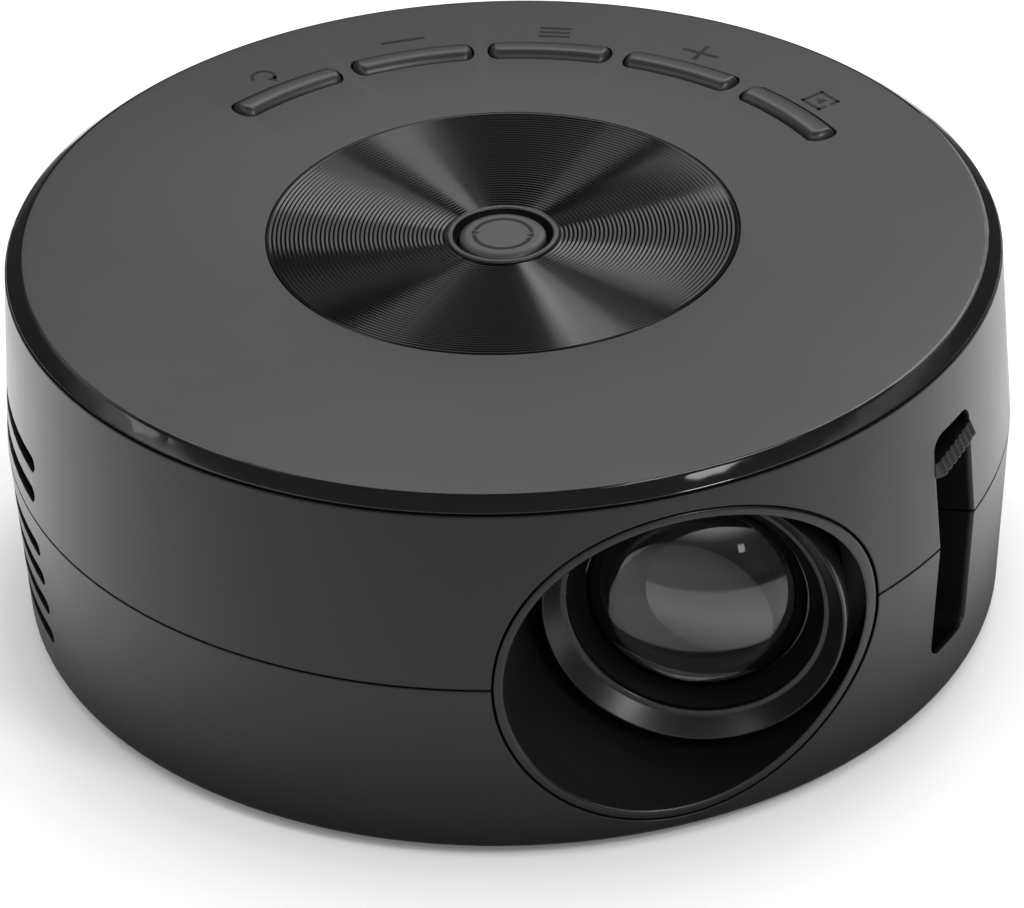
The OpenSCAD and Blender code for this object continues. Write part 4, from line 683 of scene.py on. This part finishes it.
def bolster(bm, width, z0, top, span, azimuth, soft=0.0):
    """Adds a closed bar bent along the keys' arc, with flattened round ends and a soft upper edge."""
    half = width / 2
    bend = span - math.degrees(END_FLAT * width / KEY_R)
    out = Matrix.Translation((KEY_R * MM, 0, 0))
    for side in (-1, 1):
        place = Matrix.Rotation(math.radians(azimuth + side * bend / 2), 4, "Z") @ out
        end = [(0, z0), (half, z0), (half, top), (0, top)]
        sweep(bm, end, soft, [2], place, place.translation, side * math.pi, END_FLAT)
    place = Matrix.Rotation(math.radians(azimuth - bend / 2), 4, "Z") @ out
    whole = [(-half, z0), (half, z0), (half, top), (-half, top)]
    sweep(bm, whole, soft, [2, 3], place, (0, 0, 0), math.radians(bend))
    bmesh.ops.remove_doubles(bm, verts=bm.verts[:], dist=1e-6)
    bmesh.ops.recalc_face_normals(bm, faces=bm.faces[:])


print("keys", len(KEY_AZ))

# %% Cut the key slots
KEY_GAP = 0.25


def cut_away(piece, cutter_bm):
    """Cuts a closed shape out of a piece with a boolean, and keeps only the result."""
    cutter_mesh = bpy.data.meshes.new("cutter")
    cutter_bm.to_mesh(cutter_mesh)
    cutter_bm.free()
    cutter = bpy.data.objects.new("cutter", cutter_mesh)
    scene.collection.objects.link(cutter)
    cut = piece.modifiers.new("cut", "BOOLEAN")
    cut.object = cutter
    cut.operation = "DIFFERENCE"
    cut.solver = "EXACT"
    result = bpy.data.meshes.new_from_object(piece.evaluated_get(bpy.context.evaluated_depsgraph_get()))
    piece.modifiers.remove(cut)
    old = piece.data
    piece.data = result
    bpy.data.meshes.remove(old)
    bpy.data.objects.remove(cutter)
    bpy.data.meshes.remove(cutter_mesh)


slot_span = KEY_SPAN + math.degrees(2 * KEY_GAP / KEY_R)
for azimuth in KEY_AZ.values():
    slot_bm = bmesh.new()
    bolster(slot_bm, KEY_W + 2 * KEY_GAP, COVER_Z - 1, TOP_Z + 1, slot_span, azimuth)
    cut_away(cover, slot_bm)
cover.data.name = "matt_cover"
print("cover", len(cover.data.polygons), "faces")

# %% [markdown]
# ## Keys
# Five keys stand a little proud of the top behind the disc. Each is a bent bar with a wide soft edge, so its
# front catches the light like a small bolster. Below the cover a flange keeps the key in and a stem reaches
# its switch.

# %% Shape the keys
KEY_RISE = 0.8
KEY_SOFT = 1.5
KEY_FOOT = 47.6
FLANGE_WIDER = 1.6
FLANGE_THICK = 0.9
FLANGE_SPAN = KEY_SPAN + 2.0
STEM_LOW = 46.7
STEM_R = 1.5
for word, azimuth in KEY_AZ.items():
    key_bm = bmesh.new()
    bolster(key_bm, KEY_W, KEY_FOOT, TOP_Z + KEY_RISE, KEY_SPAN, azimuth, KEY_SOFT)
    bolster(key_bm, KEY_W + FLANGE_WIDER, KEY_FOOT, KEY_FOOT + FLANGE_THICK, FLANGE_SPAN, azimuth)
    at = math.radians(azimuth)
    stem_x = KEY_R * MM * math.cos(at)
    stem_y = KEY_R * MM * math.sin(at)
    stem_z = (STEM_LOW + KEY_FOOT) / 2 * MM
    stem = Matrix.Translation((stem_x, stem_y, stem_z))
    bmesh.ops.create_cone(key_bm, cap_ends=True, segments=32, radius1=STEM_R * MM, radius2=STEM_R * MM,
                          depth=(KEY_FOOT - STEM_LOW) * MM, matrix=stem)
    settle(key_bm, "soft_key_" + word, word + "_key", ["key_plastic"], ["key_" + word])

# %% [markdown]
# ## Collar and button
# A thin collar lines the hole in the disc. Its inside falls away steeply, which leaves the black ring round
# the button that the eye reads as a gap. The button has a wide flange under the collar that keeps it in.

# %% Turn the collar
COLLAR_BORE = 5.75
COLLAR_BODY = 6.8
COLLAR_FLANGE = 7.05
COLLAR_CREST = 6.35
COLLAR_TOP = DISC_TOP - DISH + 0.3
COLLAR_SEAT = DISC_TOP - DISH + 0.025
COLLAR_LOW = 48.0
collar_profile = [
    (COLLAR_BORE, COLLAR_LOW), (COLLAR_BODY, COLLAR_LOW), (COLLAR_BODY, COLLAR_SEAT),
    (COLLAR_FLANGE, COLLAR_SEAT), (COLLAR_FLANGE, COLLAR_TOP - 0.15), (COLLAR_FLANGE - 0.2, COLLAR_TOP),
    (COLLAR_CREST, COLLAR_TOP), (COLLAR_BORE + 0.3, COLLAR_TOP - 0.9), (COLLAR_BORE, COLLAR_TOP - 1.1),
]
collar_bm = turned(collar_profile, [(0.06, 4), (0.1, 5), (0.15, 6)], UPRIGHT)
second_finish(collar_bm, lambda face: face.calc_center_median().xy.length < (COLLAR_CREST - 0.05) * MM)
settle(collar_bm, "turned_collar", "housing", ["ring_plastic", "barrel_black"],
       ["button_collar"], 50)

# %% Turn the button
BUTTON_R = 5.5
BUTTON_FLANGE = 6.4
FLANGE_TOP = COLLAR_LOW - 0.1
button_low, button_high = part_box("center_button")
BUTTON_TOP = button_high.z / MM
BUTTON_LOW = button_low.z / MM
button_profile = [
    (0, BUTTON_LOW), (BUTTON_FLANGE, BUTTON_LOW), (BUTTON_FLANGE, FLANGE_TOP), (BUTTON_R, FLANGE_TOP),
    (BUTTON_R, BUTTON_TOP - 0.35), (4.9, BUTTON_TOP - 0.05), (4.6, BUTTON_TOP), (0, BUTTON_TOP),
]
settle(turned(button_profile, [(0.3, 4), (0.25, 5), (0.15, 6)], UPRIGHT), "round_button", "button",
       ["button_face"], ["center_button"], 50)

# %% [markdown]
# ## Printed marks
# Behind each key a small mark is printed in ink only a little darker than the cover, and the button has two
# arcs with arrow tips. A print could be a pattern in the material, but thin shapes stay sharp at any
# distance. Each is drawn flat in its own place, from bars, arcs and tips, then given a hair of thickness.

# %% Helpers for marks
INK = 0.02 * MM
MARK_R = 51.6


def ink_bar(bm, length, width, place):
    size = Matrix.Diagonal((length * MM, width * MM, 1, 1))
    bmesh.ops.create_grid(bm, x_segments=1, y_segments=1, size=0.5, matrix=place @ size)


def ink_arc(bm, r, width, start, span, place, steps=20):
    a = math.radians(start)
    ends = []
    for side in (-1, 1):
        off = (r + side * width / 2) * MM
        ends.append(bm.verts.new(place @ Vector((off * math.cos(a), off * math.sin(a), 0))))
    edge = bm.edges.new(ends)
    upright = place.to_3x3() @ Vector((0, 0, 1))
    bmesh.ops.spin(bm, geom=ends + [edge], cent=place.translation, axis=upright,
                   angle=math.radians(span), steps=steps)


def ink_tip(bm, size, place):
    bmesh.ops.create_circle(bm, cap_ends=True, segments=3, radius=size * MM, matrix=place)


def print_marks(bm, name, body):
    """Turns the flat marks face up, thickens them and makes them a piece."""
    bmesh.ops.recalc_face_normals(bm, faces=bm.faces[:])
    for face in bm.faces:
        if face.normal.z < 0:
            face.normal_flip()
    bmesh.ops.solidify(bm, geom=bm.faces[:], thickness=INK)
    bmesh.ops.recalc_face_normals(bm, faces=bm.faces[:])
    return settle(bm, name, body, ["symbol_ink"])


def mark_place(azimuth, r=MARK_R, x=0.0, y=0.0, turn=0.0, z=TOP_Z):
    """A flat place behind a key, its y axis pointing away from the middle."""
    swing = Matrix.Rotation(math.radians(azimuth - 90), 4, "Z")
    out = Matrix.Translation((x * MM, (r + y) * MM, z * MM))
    return swing @ out @ Matrix.Translation((0, 0, INK)) @ Matrix.Rotation(math.radians(turn), 4, "Z")


print("ink", INK / MM, "mm")

# %% Print the key marks
marks_bm = bmesh.new()
ink_arc(marks_bm, 1.5, 0.5, -60, 240, mark_place(KEY_AZ["return"]))
ink_tip(marks_bm, 0.9, mark_place(KEY_AZ["return"], x=0.75, y=-1.3, turn=60))
ink_bar(marks_bm, 6.0, 0.6, mark_place(KEY_AZ["minus"]))
for y in (-1.1, 0.0, 1.1):
    ink_bar(marks_bm, 4.2, 0.5, mark_place(KEY_AZ["menu"], y=y))
ink_bar(marks_bm, 5.4, 0.6, mark_place(KEY_AZ["plus"]))
for y in (-1.15, 1.15):
    ink_bar(marks_bm, 0.6, 1.7, mark_place(KEY_AZ["plus"], y=y))
FRAME_BARS = [
    (-1.6, 0, 90, 3.7), (0, 1.6, 0, 3.7), (0, -1.6, 0, 3.7), (1.6, 1.1, 90, 1.5), (1.6, -1.1, 90, 1.5),
]
for x, y, turn, length in FRAME_BARS:
    ink_bar(marks_bm, length, 0.5, mark_place(KEY_AZ["input"], x=x, y=y, turn=turn))
ink_tip(marks_bm, 0.9, mark_place(KEY_AZ["input"], x=0.1, turn=90))
print_marks(marks_bm, "key_marks", "housing")

# %% Print the button's arcs
ARC_R = 3.6
ARC_START = 10
arcs_bm = bmesh.new()
for turn in (0, 180):
    middle = mark_place(90, r=0, z=BUTTON_TOP)
    ink_arc(arcs_bm, ARC_R, 0.55, ARC_START + turn, 160, middle, 40)
    tip = middle @ Matrix.Rotation(math.radians(turn), 4, "Z") @ Matrix.Translation((ARC_R * MM, 0, 0))
    ink_tip(arcs_bm, 0.65, tip @ Matrix.Rotation(math.radians(90), 4, "Z"))
print_marks(arcs_bm, "button_marks", "button")

# %% [markdown]
# ## Bezel
# The bezel lines the recess round the lens, and its rim lies flush with the round wall. A boolean with the
# wall would leave a sharp, uneven rim. So a tube with a rounded rim is turned first, and then the points of
# its front are pushed along the lens axis on to the wall.

# %% Turn the bezel and bend its rim on to the wall
BEZEL_IN = 20.5
BEZEL_OUT = 21.65
BEZEL_EYE = 17.3
BEZEL_FRONT = -70.0
BEZEL_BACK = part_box("lens_bezel")[1].y / MM
BEZEL_STEP = BEZEL_BACK - 1.5


def wall_at(x, z):
    """Where the outer wall is along -Y, in mm."""
    if z > SEAM_Z:
        r = WALL_R + (EDGE_R - WALL_R) * (z - SEAM_Z) / (EDGE_Z - SEAM_Z)
    else:
        r = FOOT_R + (WALL_R - FOOT_R) * (z - FOOT_Z) / (SEAM_Z - FOOT_Z)
    return -math.sqrt(r * r - x * x)


def off_axis(face):
    """How far a face lies from the lens axis, in mm."""
    middle = face.calc_center_median()
    return math.hypot(middle.x - LENS_X, middle.z - LENS_Z) / MM


def faces_inwards(face):
    bore = off_axis(face) < BEZEL_IN + 0.1 and abs(face.normal.y) < 0.2
    return bore or off_axis(face) < BEZEL_IN - 0.05


bezel_profile = [
    (BEZEL_IN, BEZEL_FRONT), (BEZEL_OUT, BEZEL_FRONT), (BEZEL_OUT, BEZEL_BACK), (BEZEL_EYE, BEZEL_BACK),
    (BEZEL_EYE, BEZEL_STEP), (BEZEL_IN, BEZEL_STEP), (BEZEL_IN, BEZEL_FRONT + 1.2),
]
bezel_bm = turned(bezel_profile, [(0.45, 0), (0.2, 1)], ALONG_LENS, FINE)
for vert in bezel_bm.verts:
    if vert.co.y < (BEZEL_FRONT + 2) * MM:
        vert.co.y += (wall_at(vert.co.x / MM, vert.co.z / MM) - BEZEL_FRONT) * MM
second_finish(bezel_bm, faces_inwards)
settle(bezel_bm, "recess_bezel", "housing", ["nose_plastic", "recess_black"],
       ["lens_bezel"], 50)

# %% [markdown]
# ## Nose ring and retainer
# The nose ring is the broad sloping ring on the front of the barrel, and it slides with the lens. Its inner
# crest is glossier, which draws the thin bright line round the glass. Behind it a dull black ring holds the
# front lens in its seat.

# %% Turn the nose ring and the lens retainer
NOSE_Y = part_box("nose_ring")[0].y / MM
NOSE_R = (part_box("nose_ring")[1].x - LENS_X) / MM
NOSE_SEAT = 17.1
NOSE_EYE = 15.6
CREST_R = 16.3
nose_profile = [
    (NOSE_R - 0.3, NOSE_Y), (NOSE_R, NOSE_Y + 0.5), (NOSE_R, NOSE_Y + 4.2), (NOSE_SEAT, NOSE_Y + 4.2),
    (NOSE_SEAT, NOSE_Y + 2.8), (NOSE_EYE, NOSE_Y + 2.8), (NOSE_EYE, NOSE_Y + 2.4), (CREST_R, NOSE_Y + 2.3),
]
nose_bm = turned(nose_profile, [(0.3, 0), (0.3, 1), (0.15, 6), (0.1, 7)], ALONG_LENS, FINE)
second_finish(nose_bm, lambda face: off_axis(face) < CREST_R - 0.1)
settle(nose_bm, "round_nose", "lens", ["nose_plastic", "crest_gloss"], ["nose_ring"], 50)
RETAINER_IN = 13.7
RETAINER_OUT = 16.1
RETAINER_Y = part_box("lens_retainer")[1].y / MM
retainer_profile = [
    (RETAINER_IN, RETAINER_Y), (RETAINER_OUT, RETAINER_Y), (RETAINER_OUT, RETAINER_Y - 2.0),
    (RETAINER_OUT - 0.6, RETAINER_Y - 2.0), (RETAINER_IN, RETAINER_Y - 0.4),
]
settle(turned(retainer_profile, [(0.1, 3)], ALONG_LENS, FINE), "dark_retainer", "lens",
       ["barrel_black"], ["lens_retainer"], 60)

# %% [markdown]
# ## Lenses
# A lens needs a truly smooth dome, because every facet shows in a reflection. The dome's outline is itself a
# spin: one point at the crown, swung about the centre of the curve. The outline is closed along the rim and
# the flat back, and the whole is spun about the lens axis.

# %% Turn the front and rear lenses
LENS_RIM = 14.0


def dome_lens(name, node, curve, aperture, rim_y, back_y):
    """A lens with a domed front of a given radius of curve, and a flat back, in mm."""
    bm = bmesh.new()
    swing = math.asin(aperture / curve)
    rise = curve - math.sqrt(curve * curve - aperture * aperture)
    crown = bm.verts.new((0, 0, (rim_y - rise) * MM))
    centre = (0, 0, (rim_y - rise + curve) * MM)
    bmesh.ops.spin(bm, geom=[crown], cent=centre, axis=(0, -1, 0), angle=swing, steps=28)
    last = max(bm.verts, key=lambda v: abs(v.co.x))
    side = 1 if last.co.x > 0 else -1
    for r, y in ((LENS_RIM, rim_y), (LENS_RIM, back_y), (0, back_y)):
        point = bm.verts.new((side * r * MM, 0, y * MM))
        bm.edges.new((last, point))
        last = point
    spin_round(bm, ALONG_LENS, FINE)
    return settle(bm, name, "lens", ["clear_glass"], [node], 40)


FRONT_BACK = glass_high.y / MM
REAR_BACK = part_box("rear_lens")[1].y / MM
dome_lens("front_dome", "front_lens", 18.5, 13.5, FRONT_BACK - 2.0, FRONT_BACK)
dome_lens("rear_dome", "rear_lens", 26.0, 11.9, REAR_BACK - 3.0, REAR_BACK)

# %% [markdown]
# ## View transform
# The finer pieces have to stay inside the model that they dress. The plain view transform shows each
# colour as it is written.

# %% Set the view transform
scene.view_settings.view_transform = "Standard"
